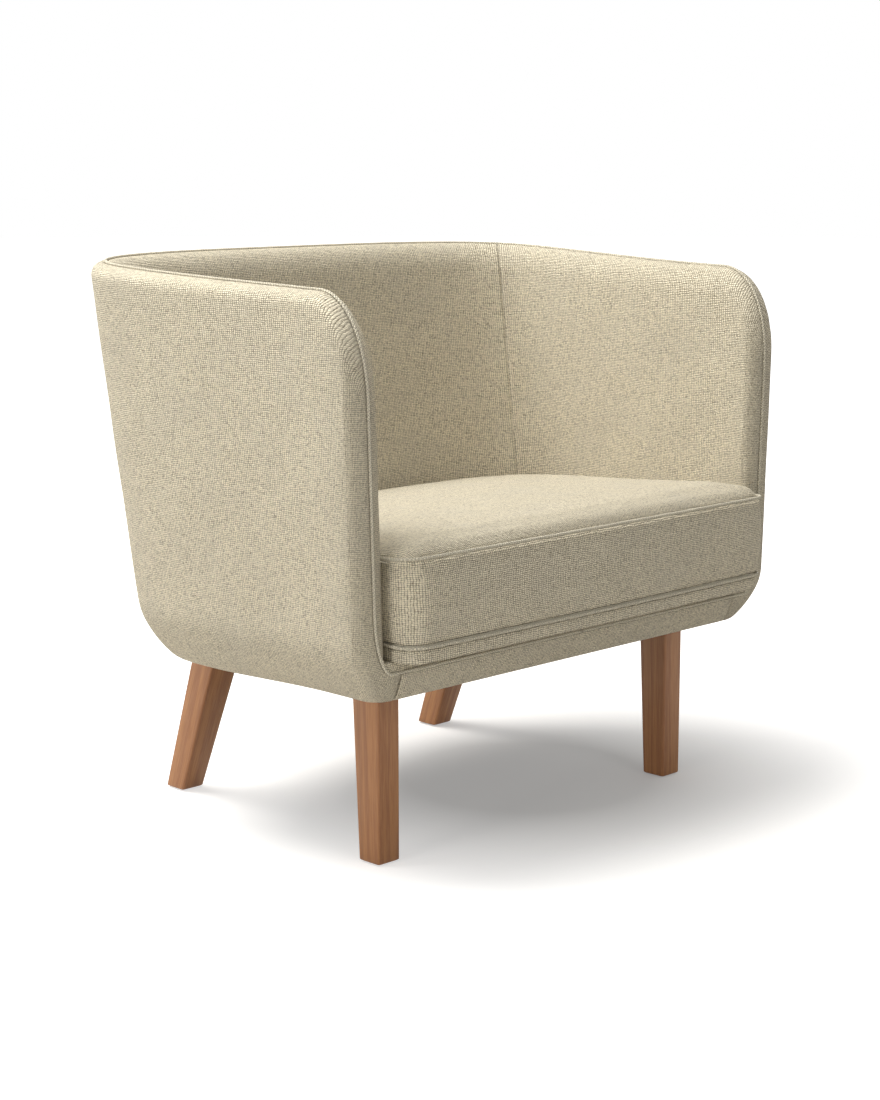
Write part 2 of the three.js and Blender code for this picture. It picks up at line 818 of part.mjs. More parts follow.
const boltHole = boltRadius + clearance;
let backCover = solidOf(sheetBody(outerBackFace, sunk(outerBackFace, coverThickness, -1)));
for (const leg of legs.filter((each) => each.inward < 0)) {
  const pierced = new THREE.CylinderGeometry(boltHole, boltHole, coverThickness * 4, holeSides);
  pierced.rotateX(QUARTER).translate(leg.bolt.x, leg.bolt.y, undersideHeight);
  backCover = backCover.subtract(solidOf(pierced));
}
add('outer_cover_back', geometryOf(backCover), fabric);

const barrelRadius = boltHole + teeNutBarrelWall;
const dustHoles = legs.map((leg) => hole(leg.bolt.x, leg.bolt.y, boltHole));
const dustEdge = underOutline(underTurn / 4);
const dustSheet = plateFrom(dustEdge, dustHoles, dustCoverThickness, dustCoverBottom, cornerSegments);
add('dust_cover', dustSheet, gauze);

function roundedRectangle(left, right, front, rear, radius) {
  const path = new THREE.Path();
  path.absarc(right - radius, front + radius, radius, -QUARTER, 0, false);
  path.absarc(right - radius, rear - radius, radius, 0, QUARTER, false);
  path.absarc(left + radius, rear - radius, radius, QUARTER, 2 * QUARTER, false);
  path.absarc(left + radius, front + radius, radius, 2 * QUARTER, 3 * QUARTER, false);
  path.closePath();
  return path;
}

const [frontLeg, rearLeg] = legs;
const openingSide = rearLeg.block.x - cornerBlockWidth / 2 - plateOpeningMargin;
const openingFront = frontLeg.block.y + cornerBlockDepth / 2 + plateOpeningMargin;
const openingRear = rearLeg.block.y - cornerBlockDepth / 2 - plateOpeningMargin;
const plateHoles = [
  roundedRectangle(-openingSide, openingSide, openingFront, openingRear, plateOpeningRadius),
  ...legs.map((leg) => hole(leg.bolt.x, leg.bolt.y, barrelRadius + clearance)),
  ...legs.map((leg) => hole(leg.screw.x, leg.screw.y, screwHeadRadius + nutRoom)),
];
// Its edge is bevelled so that it lies inside the bottom roll of the covers.
function plateRing(inset, z) {
  return underOutline(inset).map((p) => new THREE.Vector3(p.x, p.y, z));
}

const plateRings = [plateRing(plateInset, plateBottom), plateRing(plateInset - plateBevel, plateTop)];
const plateEdge = underOutline(-plateBevel);
const plateBlank = plateFrom(plateEdge, plateHoles, basePlateThickness, plateBottom, cornerSegments);
const basePlate = solidOf(ringBody(plateRings, false)).intersect(solidOf(plateBlank));
add('base_plate', geometryOf(basePlate), board);

// Base rails, standing on the plate inside the shell boards

// Round the rear they lean in towards their foot, like the covers outside them.
function railBody(columns, thickness) {
  const outer = -shellBoardInset - innerGap;
  const layer = (offset) => columns.map((column) => [
    wallPoint(column, railTopHeight, offset),
    wallPoint(column, railBottom, offset - (column.kind === 'corner' ? rearRailTaper : 0)),
  ]);
  return sheetBody(layer(outer - thickness), layer(outer));
}

addPair('side_rail', railBody(innerArmColumns.filter((c) => c.kind !== 'nose'), sideRailThickness), board);
add('rear_rail', railBody(innerBackColumns, rearRailThickness), board);

const railFace = coverThickness + clearance;
const railSection = new THREE.Shape([
  new THREE.Vector2(railFace, railTopHeight),
  new THREE.Vector2(railFace, railSeamHeight + seamHalfGap),
  new THREE.Vector2(railFace + frontRailEase, railSeamHeight - seamHalfGap),
  new THREE.Vector2(railFace + frontRailChamfer, railBottom),
  new THREE.Vector2(railFace + railThickness, railBottom),
  new THREE.Vector2(railFace + railThickness, railTopHeight),
]);
const frontRail = new THREE.ExtrudeGeometry(railSection, { depth: railHalfLength * 2, bevelEnabled: false });
frontRail.rotateX(QUARTER).rotateZ(QUARTER).translate(-railHalfLength, 0, 0);
add('front_rail', frontRail, board);

for (const leg of legs) {
  const { block, bolt, screw } = leg;
  const hand = Math.sign(block.x);
  const sideX = block.x + hand * cornerBlockWidth / 2;
  const endY = block.y - leg.inward * cornerBlockDepth / 2;
  const outline = [
    new THREE.Vector2(block.x - hand * cornerBlockWidth / 2, endY),
    new THREE.Vector2(sideX - hand * blockChamferWidth, endY),
    new THREE.Vector2(sideX, endY + leg.inward * blockChamferDepth),
    new THREE.Vector2(sideX, block.y + leg.inward * cornerBlockDepth / 2),
    new THREE.Vector2(block.x - hand * cornerBlockWidth / 2, block.y + leg.inward * cornerBlockDepth / 2),
  ];
  const holes = [
    hole(bolt.x, bolt.y, teeNutFlangeRadius + nutRoom),
    hole(screw.x, screw.y, screwRadius + clearance),
  ];
  const geometry = plateFrom(outline, holes, railTopHeight - railBottom, railBottom, cornerSegments);
  add('corner_block_' + leg.name, geometry, board);
}

// Seat: board in its cloth band, foam block, boxing, crowned top panel and two rows of piping

// Height of the top seam over a depth: it falls evenly to the back.
function seamLevel(y) {
  return seatWeltHeight - seatFall * (y + seatOverhang) / shellDepth;
}

// A point against the tub's wall at a height that depends on its own depth.
function besideWall(column, rises, reach) {
  let point = wallPoint(column, rises(0), reach);
  for (let pass = 0; pass < 3; pass++) {
    point = wallPoint(column, rises(point.y), reach);
  }
  return point;
}

// Outline of the seat at a height that may depend on depth; the push moves its front forward.
function seatRing(inset, height, push) {
  const rises = typeof height === 'function' ? height : () => height;
  const half = [];
  const reach = -(innerBulge + seatSideGap + inset);
  const front = inset - seatOverhang;
  const sideLine = wallPoint(side(0), rises(front), reach).x;
  const radius = seatCornerRadius - inset;
  for (const share of seatFrontShares) {
    const y = front - seatFrontBow * (1 - share * share) - push;
    half.push(new THREE.Vector3((sideLine - radius) * share, y, rises(y)));
  }
  for (const share of seatCornerTurnShares) {
    const turn = share * QUARTER;
    const x = sideLine - radius + radius * Math.sin(turn);
    const y = front + radius - (radius + push) * Math.cos(turn);
    half.push(new THREE.Vector3(x, y, rises(y)));
  }
  for (const share of seatSideShares) {
    half.push(besideWall(side(share), rises, reach));
  }
  for (const share of seatRearShares) {
    half.push(besideWall(corner(share), rises, reach));
  }
  return [...half, ...half.slice(1, -1).reverse().map(acrossX)];
}

function ringNormals(ring) {
  return ring.map((_, k) => {
    const along = ring[(k + 1) % ring.length].clone().sub(ring[(k + ring.length - 1) % ring.length]);
    return new THREE.Vector3(along.y, -along.x, 0).normalize();
  });
}

const seatTopLine = seatRing(0, seamLevel, 0);
const seatLowLine = seatRing(0, lowWeltHeight, 0);
add('seat_top_piping', loopTube(seatTopLine, ringNormals(seatTopLine), weltRadius, 0), piping);
add('seat_low_piping', loopTube(seatLowLine, ringNormals(seatLowLine), weltRadius, 0), piping);

function boxingTop(y) {
  return seamLevel(y) - weltRadius - clearance;
}

function boxingRings(inset) {
  return boxingShares.map((share) => {
    const rises = (y) => lerp(boxingBottom, boxingTop(y), share);
    return seatRing(inset, rises, boxingBulge * Math.sin(2 * QUARTER * share));
  });
}
add('seat_boxing', ringBody([...boxingRings(0), ...boxingRings(coverThickness).reverse()], true), fabric);

const bandRings = [
  seatRing(0, bandTop, 0),
  seatRing(0, bandBottom, 0),
  seatRing(bandUnderTurn, bandBottom, 0),
  seatRing(bandUnderTurn, bandBottom + coverThickness, 0),
  seatRing(coverThickness, bandBottom + coverThickness, 0),
  seatRing(coverThickness, bandTop, 0),
];
add('seat_band', ringBody(bandRings, true), fabric);

const boardInset = coverThickness + clearance;
const boardBottom = bandBottom + coverThickness + clearance;
const boardTop = boardBottom + seatBoardThickness;
const boardOutline = seatRing(boardInset, bandBottom, 0).map((p) => new THREE.Vector2(p.x, p.y));
const seatMiddle = shellDepth / 2 - seatOverhang;
const boardHoles = legs.map((leg) => hole(leg.screw.x, leg.screw.y, screwRadius + clearance));
for (const x of [-seatVentSpacing / 2, seatVentSpacing / 2]) {
  for (const y of [seatMiddle - seatVentSpacing / 2, seatMiddle + seatVentSpacing / 2]) {
    boardHoles.push(hole(x, y, seatVentRadius));
  }
}
const seatPlate = plateFrom(boardOutline, boardHoles, seatBoardThickness, boardBottom, cornerSegments);
add('seat_board', seatPlate, board);

// The crown: rings drawn in towards the middle, raised by a steep shoulder and a low dome
const crownMiddle = new THREE.Vector3(0, seatMiddle - seatOverhang, 0);
const crownEdge = seatRing(seamHalfGap, seamLevel, 0);

function crownRing(share, lift) {
  const dome = seatDome * (1 - share ** domePower);
  const rise = seatShoulder * (1 - share ** shoulderPower) + dome;
  return crownEdge.map((point) => {
    const at = crownMiddle.clone().lerp(point, share);
    at.z = seamLevel(at.y) + rise + lift;
    return at;
  });
}

const panelTop = coverThickness / 2;
const upper = domeShares.map((share) => crownRing(share, panelTop));
const lower = domeShares.map((share) => crownRing(share, -panelTop)).reverse();
add('seat_top_panel', ringBody([...lower, ...upper], false), fabric);

const foamInset = coverThickness + clearance;
const foamFoot = boardTop + clearance;
const foamRings = [
  seatRing(seamHalfGap + clearance, foamFoot, 0),
  seatRing(seamHalfGap + clearance, boxingBottom, 0),
  ...boxingRings(foamInset).slice(1, -1),
  seatRing(seamHalfGap + clearance, boxingTop, 0),
  ...domeShares.map((share, k) => crownRing(k === 0 ? foamEdgeShare : share, -panelTop - clearance)),
];
add('seat_foam', ringBody(foamRings, false), foam);

// Legs with their bolts, tee nuts, glides and the screws that hold the seat

function roundedSection(centre, width, depth, radius, z) {
  const ring = [];
  for (let k = 0; k < 4; k++) {
    const signX = k === 0 || k === 3 ? 1 : -1;
    const signY = k < 2 ? 1 : -1;
    for (const share of edgeTurnShares) {
      const turn = (k + share) * QUARTER;
      const x = centre.x + signX * (width / 2 - radius) + radius * Math.cos(turn);
      const y = centre.y + signY * (depth / 2 - radius) + radius * Math.sin(turn);
      ring.push(new THREE.Vector3(x, y, z));
    }
  }
  return ring;
}

function legBody(leg) {
  const chamferTop = legBottom + footChamfer;
  const share = footChamfer / (legTop - legBottom);
  const low = leg.foot.clone().lerp(leg.top, share);
  const lowWidth = lerp(legFoot, leg.topSize.x, share);
  const lowDepth = lerp(legFoot, leg.topSize.y, share);
  const slim = legFoot - footChamfer * 2;
  const solid = solidOf(ringBody([
    roundedSection(leg.foot, slim, slim, legEdgeRadius - footChamfer / 2, legBottom),
    roundedSection(low, lowWidth, lowDepth, legEdgeRadius, chamferTop),
    roundedSection(leg.top, leg.topSize.x, leg.topSize.y, legEdgeRadius, legTop),
  ], false));
  const bore = new THREE.CylinderGeometry(boltHole, boltHole, boltDepthInLeg * 2, boreSides);
  bore.rotateX(QUARTER).translate(leg.bolt.x, leg.bolt.y, legTop);
  const pinHole = new THREE.CylinderGeometry(pinBore, pinBore, pinDepth * 2, pinBoreSides);
  pinHole.rotateX(QUARTER).translate(leg.foot.x, leg.foot.y, legBottom);
  return geometryOf(solid.subtract(solidOf(bore)).subtract(solidOf(pinHole)));
}

function turned(profile, segments) {
  const geometry = new THREE.LatheGeometry(profile.map(([r, z]) => new THREE.Vector2(r, z)), segments);
  return geometry.rotateX(QUARTER);
}

const pinBore = glidePinRadius + clearance;
const pinDepth = glidePinLength + clearance;
const nutTop = railBottom + teeNutFlange;
const screwHeadTop = railBottom - clearance;

for (const leg of legs) {
  add('leg_' + leg.name, legBody(leg), wood);

  const boltFoot = legTop - boltDepthInLeg + clearance;
  const bolt = turned([
    [0, boltFoot],
    [boltRadius, boltFoot],
    [boltRadius, nutTop + boltAboveNut],
    [0, nutTop + boltAboveNut],
  ], boltSides);
  bolt.translate(leg.bolt.x, leg.bolt.y, 0);
  add('leg_bolt_' + leg.name, bolt, steel);

  const nut = turned([
    [boltHole, railBottom - teeNutBarrel],
    [barrelRadius, railBottom - teeNutBarrel],
    [barrelRadius, railBottom],
    [teeNutFlangeRadius, railBottom],
    [teeNutFlangeRadius, nutTop],
    [boltHole, nutTop],
    [boltHole, railBottom - teeNutBarrel],
  ], nutSides);
  nut.translate(leg.bolt.x, leg.bolt.y, 0);
  add('tee_nut_' + leg.name, nut, steel);

  const glide = turned([
    [0, 0],
    [glideRadius - glideThickness, 0],
    [glideRadius, glideThickness / 2],
    [glideRadius, glideThickness],
    [glidePinRadius, glideThickness],
    [glidePinRadius, glideThickness + glidePinLength],
    [0, glideThickness + glidePinLength],
  ], glideSides);
  glide.translate(leg.foot.x, leg.foot.y, 0);
  add('glide_' + leg.name, glide, nylon);

  const screw = turned([
    [0, screwHeadTop - screwHead],
    [screwHeadRadius, screwHeadTop - screwHead],
    [screwHeadRadius, screwHeadTop],
    [screwRadius, screwHeadTop],
    [screwRadius, boardBottom + screwBite],
    [0, boardBottom + screwBite],
  ], screwSides);
  screw.translate(leg.screw.x, leg.screw.y, 0);
  add('seat_screw_' + leg.name, screw, steel);
}

const box = new THREE.Box3().setFromObject(chair);
chair.position.y = -(box.min.y + box.max.y) / 2;

export default chair;
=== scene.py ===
import bpy
import numpy as np
from mathutils import Matrix, Vector


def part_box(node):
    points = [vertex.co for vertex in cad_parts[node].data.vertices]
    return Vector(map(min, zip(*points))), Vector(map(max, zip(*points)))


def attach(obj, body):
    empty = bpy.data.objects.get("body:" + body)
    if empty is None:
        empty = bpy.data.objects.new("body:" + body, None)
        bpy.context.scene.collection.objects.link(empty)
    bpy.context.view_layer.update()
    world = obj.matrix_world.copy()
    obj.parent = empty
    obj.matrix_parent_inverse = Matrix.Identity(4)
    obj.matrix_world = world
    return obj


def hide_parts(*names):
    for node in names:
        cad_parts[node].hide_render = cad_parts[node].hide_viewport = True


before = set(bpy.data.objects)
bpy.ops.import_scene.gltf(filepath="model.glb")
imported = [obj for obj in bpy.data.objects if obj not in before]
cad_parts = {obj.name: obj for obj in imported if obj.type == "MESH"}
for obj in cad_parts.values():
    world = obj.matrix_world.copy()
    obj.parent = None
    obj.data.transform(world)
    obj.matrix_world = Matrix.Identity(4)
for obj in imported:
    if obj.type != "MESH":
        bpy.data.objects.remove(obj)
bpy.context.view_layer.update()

# Timber frame: bent shell boards, base plate, seat board, rails and corner blocks.
# Birch plywood and planed beech, glued and screwed together before any foam goes on.
# All of it is hidden once the chair is covered, so the sawn solids stay as they are.

ply_light, ply_dark = (0.62, 0.44, 0.25, 1), (0.40, 0.25, 0.12, 1)
beech_light, beech_dark = (0.60, 0.38, 0.22, 1), (0.42, 0.24, 0.12, 1)


def put(tree, kind, inputs=None, **settings):
    """One shader node: settings are its own properties, inputs are values or sockets to link from."""
    made = tree.nodes.new("ShaderNode" + kind)
    for name, value in settings.items():
        setattr(made, name, value)
    for name, value in (inputs or {}).items():
        if isinstance(value, bpy.types.NodeSocket):
            tree.links.new(value, made.inputs[name])
        else:
            made.inputs[name].default_value = value
    return made


def mixed(tree, factor, first, second, blend="MIX"):
    """The second colour mixed into the first by a factor; returns the resulting socket."""
    return put(tree, "Mix", {0: factor, 6: first, 7: second}, data_type="RGBA", blend_type=blend).outputs[2]


def maths(tree, operation, *values, clamp=False):
    """The result of a Math node on values or sockets."""
    return put(tree, "Math", dict(enumerate(values)), operation=operation, use_clamp=clamp).outputs[0]


def vector_maths(tree, operation, inputs):
    """The result of a Vector Math node on its inputs."""
    return put(tree, "VectorMath", inputs, operation=operation).outputs[0]


def noise(tree, place, scale, detail=2.0, output="Fac", **more):
    """Noise over a place, its scale in cells to the metre."""
    return put(tree, "TexNoise", {"Vector": place, "Scale": scale, "Detail": detail, **more}).outputs[output]


def ranged(tree, value, source=(0, 1), target=(0, 1)):
    """A value carried over from one range to another, and kept inside it."""
    ends = dict(zip(("From Min", "From Max", "To Min", "To Max"), (*source, *target)))
    return put(tree, "MapRange", {"Value": value, **ends}).outputs[0]


def add_bump(tree, shader, strength, distance, height):
    """Bends the shader's normal by a height."""
    bump = put(tree, "Bump", {"Strength": strength, "Distance": distance, "Height": height})
    tree.links.new(bump.outputs[0], shader.inputs["Normal"])


def new_group(name, inputs, outputs):
    """An empty shader node group with typed sockets, and its input and output nodes."""
    tree = bpy.data.node_groups.new(name, "ShaderNodeTree")
    for label, kind, value in inputs:
        socket = tree.interface.new_socket(label, in_out="INPUT", socket_type="NodeSocket" + kind)
        if value is not None:
            socket.default_value = value
    for label, kind in outputs:
        tree.interface.new_socket(label, in_out="OUTPUT", socket_type="NodeSocket" + kind)
    return tree, tree.nodes.new("NodeGroupInput"), tree.nodes.new("NodeGroupOutput")


def new_material(name, roughness):
    """A material with its tree and its Principled shader."""
    made = bpy.data.materials.new(name)
    made.use_nodes = True
    shader = made.node_tree.nodes["Principled BSDF"]
    shader.inputs["Roughness"].default_value = roughness
    return made, made.node_tree, shader


def shade_by_group(tree, shader, group, values, strength, distance):
    """Colour, roughness and bump of a shader, all read from one group of nodes."""
    given = put(tree, "Group", values, node_tree=group).outputs
    tree.links.new(given["Color"], shader.inputs["Base Color"])
    tree.links.new(given["Roughness"], shader.inputs["Roughness"])
    add_bump(tree, shader, strength, distance, given["Height"])


def wood_grain_group():
    """Grain along z: noise stretched along the length gives fibres, and slower noise folded through a sine
    gives growth rings."""
    stretch, ring_folds, ring_share = (1.0, 1.0, 0.035), 26.0, 0.16
    tree, given, result = new_group(
        "wood_grain",
        [("Vector", "Vector", None), ("Light", "Color", (1, 1, 1, 1)), ("Dark", "Color", (0, 0, 0, 1)),
         ("Fibre", "Float", 900.0), ("Figure", "Float", 60.0)],
        [("Color", "Color"), ("Height", "Float"), ("Roughness", "Float")])
    long_way = vector_maths(tree, "MULTIPLY", {0: given.outputs["Vector"], 1: stretch})
    fibre = noise(tree, long_way, given.outputs["Fibre"], 3.0, Roughness=0.6)
    figure = noise(tree, long_way, given.outputs["Figure"], Distortion=0.6)
    rings = maths(tree, "SINE", maths(tree, "MULTIPLY", figure, ring_folds))
    share = ranged(tree, maths(tree, "MULTIPLY_ADD", rings, ring_share, fibre), (0.3, 0.72))
    colour = mixed(tree, share, given.outputs["Light"], given.outputs["Dark"])
    tree.links.new(colour, result.inputs["Color"])
    tree.links.new(fibre, result.inputs["Height"])
    tree.links.new(ranged(tree, fibre, (0.3, 0.7), (0.38, 0.52)), result.inputs["Roughness"])
    return tree


wood_grain = wood_grain_group()


def wood_material(name, light, dark, fibre, figure, source, turn=(0, 0, 0)):
    """Wood in two tones; source is the node output that the grain reads, turned so that it runs along z."""
    made, tree, shader = new_material(name, 0.45)
    place = put(tree, "Mapping", {"Vector": source(tree), "Rotation": turn}).outputs[0]
    values = {"Vector": place, "Light": light, "Dark": dark, "Fibre": fibre, "Figure": figure}
    shade_by_group(tree, shader, wood_grain, values, 0.25, 0.0003)
    return made


def object_place(tree):
    """The Object coordinate output."""
    return put(tree, "TexCoord").outputs["Object"]


quarter = np.pi / 2
plywood = wood_material("birch_plywood", ply_light, ply_dark, 500.0, 30.0, object_place)
beech_across = wood_material("beech_across", beech_light, beech_dark, 700.0, 45.0, object_place,
                             (0, quarter, 0))
beech_upright = wood_material("beech_upright", beech_light, beech_dark, 700.0, 45.0, object_place)


def finish_node(name, material):
    """A CAD node that stays gets its material."""
    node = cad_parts[name]
    node.data.materials.clear()
    node.data.materials.append(material)


for name in ("shell_board_right", "shell_board_left", "shell_board_back", "base_plate", "seat_board"):
    finish_node(name, plywood)
for name in ("front_rail", "rear_rail", "side_rail_right", "side_rail_left"):
    finish_node(name, beech_across)
ends = [front + "_" + hand for front in ("front", "rear") for hand in ("right", "left")]
for end in ends:
    finish_node("corner_block_" + end, beech_upright)

# Legs: four square tapered legs of stained beech, their long edges eased by hand.
# The front pair stands upright and the rear pair is raked back; each is bolted up
# through the base plate into a tee nut, and ends in a nylon glide.

leg_light, leg_dark = (0.36, 0.155, 0.049, 1), (0.25, 0.096, 0.029, 1)
leg_edge, foot_chamfer = 0.003, 0.002
edge_steps, leg_rows = 5, 40
grain_shifts = {"front_right": 0.31, "front_left": 0.0, "rear_right": 0.77, "rear_left": 0.53}


def stacked(*parts):
    """Points whose coordinates are these arrays, or numbers that hold for all of them."""
    return np.stack(np.broadcast_arrays(*parts), -1)


def quads(rows, columns, around=False, closed=False):
    """Faces of a grid of points, row by row; around joins the last column to the first, and closed the last
    row to the first."""
    wide = columns if around else columns - 1
    high = rows if closed else rows - 1
    r, c = np.meshgrid(np.arange(high), np.arange(wide), indexing="ij")
    below, beside = (r + 1) % rows, (c + 1) % columns
    corners = [r * columns + c, r * columns + beside, below * columns + beside, below * columns + c]
    return np.stack([each.ravel() for each in corners], -1)


def ring_faces(rings):
    """Faces round a stack of rings, and the caps that close its two ends."""
    count, around = len(rings), len(rings[0])
    caps = [range(around)[::-1], range((count - 1) * around, count * around)]
    return quads(count, around, around=True), caps


def outward(points, faces):
    """The faces turned so that the closed body they bound has a positive volume."""
    a, b, c = (points[faces[:, k]] for k in (0, 1, 2))
    d = points[faces[:, -1]]
    volume = np.einsum("ij,ij->", a, np.cross(b, c)) + np.einsum("ij,ij->", a, np.cross(c, d))
    return faces if volume > 0 else faces[:, ::-1]


def new_object(name, data):
    """An object of the scene for a mesh, a lamp or a camera."""
    made = bpy.data.objects.new(name, data)
    bpy.context.scene.collection.objects.link(made)
    return made


def lay_cloth(mesh, place):
    """Keeps the surface place of each point, in metres, as the mesh's UV map."""
    corners = np.zeros(len(mesh.loops), np.int32)
    mesh.loops.foreach_get("vertex_index", corners)
    layer = mesh.uv_layers.new(name="cloth_place")
    layer.data.foreach_set("uv", place.reshape(-1, 2)[corners].astype(np.float32).ravel())


def make_piece(name, points, faces, material, place=None, caps=()):
    """A closed mesh piece that rides on the chair: grid points and faces, with the surface place of each
    point where it is cloth. Caps are extra faces of many corners."""
    points = np.asarray(points, float).reshape(-1, 3)
    turned = outward(points, faces)
    flipped = turned is not faces
    listed = turned.tolist() + [list(cap)[::-1] if flipped else list(cap) for cap in caps]
    mesh = bpy.data.meshes.new(name)
    mesh.from_pydata(points.tolist(), [], listed)
    mesh.polygons.foreach_set("use_smooth", np.ones(len(mesh.polygons), bool))
    if place is not None:
        lay_cloth(mesh, place)
    mesh.update()
    piece = new_object(name, mesh)
    piece.data.materials.append(material)
    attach(piece, "root")
    return piece


def leg_section(width, depth, radius):
    """A rectangle with round corners: each corner is a quarter circle of the edge radius."""
    turns = np.concatenate([(k + np.linspace(0, 1, edge_steps + 1)) * quarter for k in range(4)])
    side = np.repeat([[1, 1], [-1, 1], [-1, -1], [1, -1]], edge_steps + 1, 0)
    core = side * np.array([width / 2 - radius, depth / 2 - radius])
    return core + radius * stacked(np.cos(turns), np.sin(turns))


def grain_place(tree):
    """The place in the leg's own straight frame, kept in an attribute of the mesh."""
    return put(tree, "Attribute", attribute_name="along_leg").outputs["Vector"]


leg_wood = wood_material("stained_beech", leg_light, leg_dark, 620.0, 34.0, grain_place)


def leg_piece(end):
    """A rounded rectangle carried along the straight line from foot to top while it grows evenly; at the
    foot it draws in to the chamfer. Its corners come from the CAD leg's own points, and its sides stay flat
    by sharp shading where two faces meet at more than 40 degrees."""
    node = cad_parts["leg_" + end]
    points = np.array([v.co for v in node.data.vertices])
    low, high = points[:, 2].min(), points[:, 2].max()
    layers = {}
    for name, height in (("foot", low), ("top", high)):
        layer = points[np.abs(points[:, 2] - height) < 1e-5]
        layers[name] = (layer[:, :2].min(0), layer[:, :2].max(0))
    foot_middle = sum(layers["foot"]) / 2
    foot_size = layers["foot"][1] - layers["foot"][0] + 2 * foot_chamfer
    top_middle = sum(layers["top"]) / 2
    top_size = layers["top"][1] - layers["top"][0]
    rise = foot_chamfer * np.array([0, 0.3, 0.7])
    heights = np.concatenate([rise, np.linspace(foot_chamfer, high - low, leg_rows)])
    rings, places = [], []
    for height in heights:
        share = height / (high - low)
        size = foot_size + (top_size - foot_size) * share
        draw = foot_chamfer * (1 - np.sin(min(height / foot_chamfer, 1) * quarter))
        ring = leg_section(size[0] - 2 * draw, size[1] - 2 * draw, leg_edge)
        middle = foot_middle + (top_middle - foot_middle) * share
        rings.append(np.column_stack([ring + middle, np.full(len(ring), low + height)]))
        places.append(np.column_stack([ring, np.full(len(ring), height)]))
    faces, caps = ring_faces(rings)
    piece = make_piece("wooden_leg_" + end, np.array(rings), faces, leg_wood, caps=caps)
    attribute = piece.data.attributes.new("along_leg", "FLOAT_VECTOR", "POINT")
    own = np.array(places).reshape(-1, 3) + grain_shifts[end]
    attribute.data.foreach_set("vector", own.astype(np.float32).ravel())
    piece.data.set_sharp_from_angle(angle=np.radians(40))
    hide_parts("leg_" + end)


for end in ends:
    leg_piece(end)


def worn_material(name, colour, roughness, metallic, scale):
    """One plain finish with fine scratches: noise shifts its colour and its roughness a little."""
    made, tree, shader = new_material(name, roughness)
    scratches = noise(tree, object_place(tree), scale, 4.0)
    darker = tuple(part * 0.75 for part in colour[:3]) + (1,)
    tree.links.new(mixed(tree, scratches, colour, darker), shader.inputs["Base Color"])
    rough = ranged(tree, scratches, target=(roughness - 0.1, roughness + 0.1))
    tree.links.new(rough, shader.inputs["Roughness"])
    shader.inputs["Metallic"].default_value = metallic
    return made


zinc_steel = worn_material("zinc_plated_steel", (0.62, 0.62, 0.58, 1), 0.35, 0.9, 900.0)
nylon = worn_material("brown_nylon", (0.045, 0.036, 0.03, 1), 0.55, 0.0, 600.0)
for end in ends:
    for kind in ("leg_bolt_", "tee_nut_", "seat_screw_"):
        finish_node(kind + end, zinc_steel)
    finish_node("glide_" + end, nylon)

# Foam: slabs of cut polyurethane foam glued to both faces of the shell boards.
# They follow the wall of the tub, thicker inside than outside, and the inner slabs
# roll over the top of the boards. The form of the wall itself is worked out here.

clearance = 0.0003
cover_thickness = 0.002
welt_radius = 0.0024
seam_half_gap = 0.0017
seam_sink, seam_sink_reach = 0.0008, 0.004
nose_half_width = 0.3738
arm_bow = 0.018
bow_start = 0.1
shell_depth = 0.559
corner_depth = 0.171
corner_power = 3.3
side_taper = 0.0154
back_lean = 0.0694
corner_advance = 0.0876
underside = 0.224
arm_top = 0.7058
back_rise = 0.0239
crown_power = 1.5
arm_corner_length = 0.0765
arm_corner_height = 0.127
arm_corner_power = 2.15
arm_bulge = 0.0277
back_bulge = 0.014
bulge_ramp = 0.45
inner_bulge = 0.022
nose_depth = 0.017
outer_roll = 0.021
outer_roll_power = 2.8
inner_roll = 0.038
board_inset, board_face = 0.003, 0.003
glue_gap = 0.0005
foam_step, cloth_step = 0.012, 0.005
corner_start = shell_depth - corner_depth
front_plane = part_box("rail_cover")[0].y


def eased(value, low, high):
    """0 below low, 1 above high, and a cubic ease between them."""
    t = np.clip((value - low) / (high - low), 0, 1)
    return t * t * (3 - 2 * t)


def crown_height(y):
    """Height of the wall: arm height plus the back's rise times the depth share to the crown's power."""
    return arm_top + back_rise * (np.maximum(y, 0) / shell_depth) ** crown_power


def edge_height(y):
    """Height of the seam over a place on the arm: a superellipse rounds it down to the arm front."""
    run = np.clip(1 - y / arm_corner_length, 0, 1) ** arm_corner_power
    return crown_height(y) - arm_corner_height * (1 - (1 - run) ** (1 / arm_corner_power))


def edge_setback(z):
    """Set-back of that rounded seam from the arm front at a height, the same superellipse solved for y."""
    foot = crown_height(arm_corner_length) - arm_corner_height
    rise = np.clip((z - foot) / arm_corner_height, 0, 1) ** arm_corner_power
    return arm_corner_length * (1 - (1 - rise) ** (1 / arm_corner_power))


def nose_turn(s):
    """Angle of a station round the arm front, from 0 to a right angle."""
    return np.clip(s, 0, 1) * quarter


def corner_turn(s):
    """Angle of a station on the superelliptic rear corner, 0 at its start and a right angle at the middle."""
    return np.clip(np.minimum(s - 2, 4 - s), 0, 1) * quarter


def crown_over(s):
    """Height of the crown over a station: s runs 0 to 1 round the arm front, 1 to 2 along the arm and
    2 to 4 round the back, with 3 at its middle."""
    front = nose_depth * (1 - np.cos(nose_turn(s)))
    arm = nose_depth + (corner_start - nose_depth) * (s - 1)
    back = corner_start + corner_depth * np.sin(corner_turn(s)) ** (2 / corner_power)
    return crown_height(np.where(s < 1, front, np.where(s < 2, arm, back)))


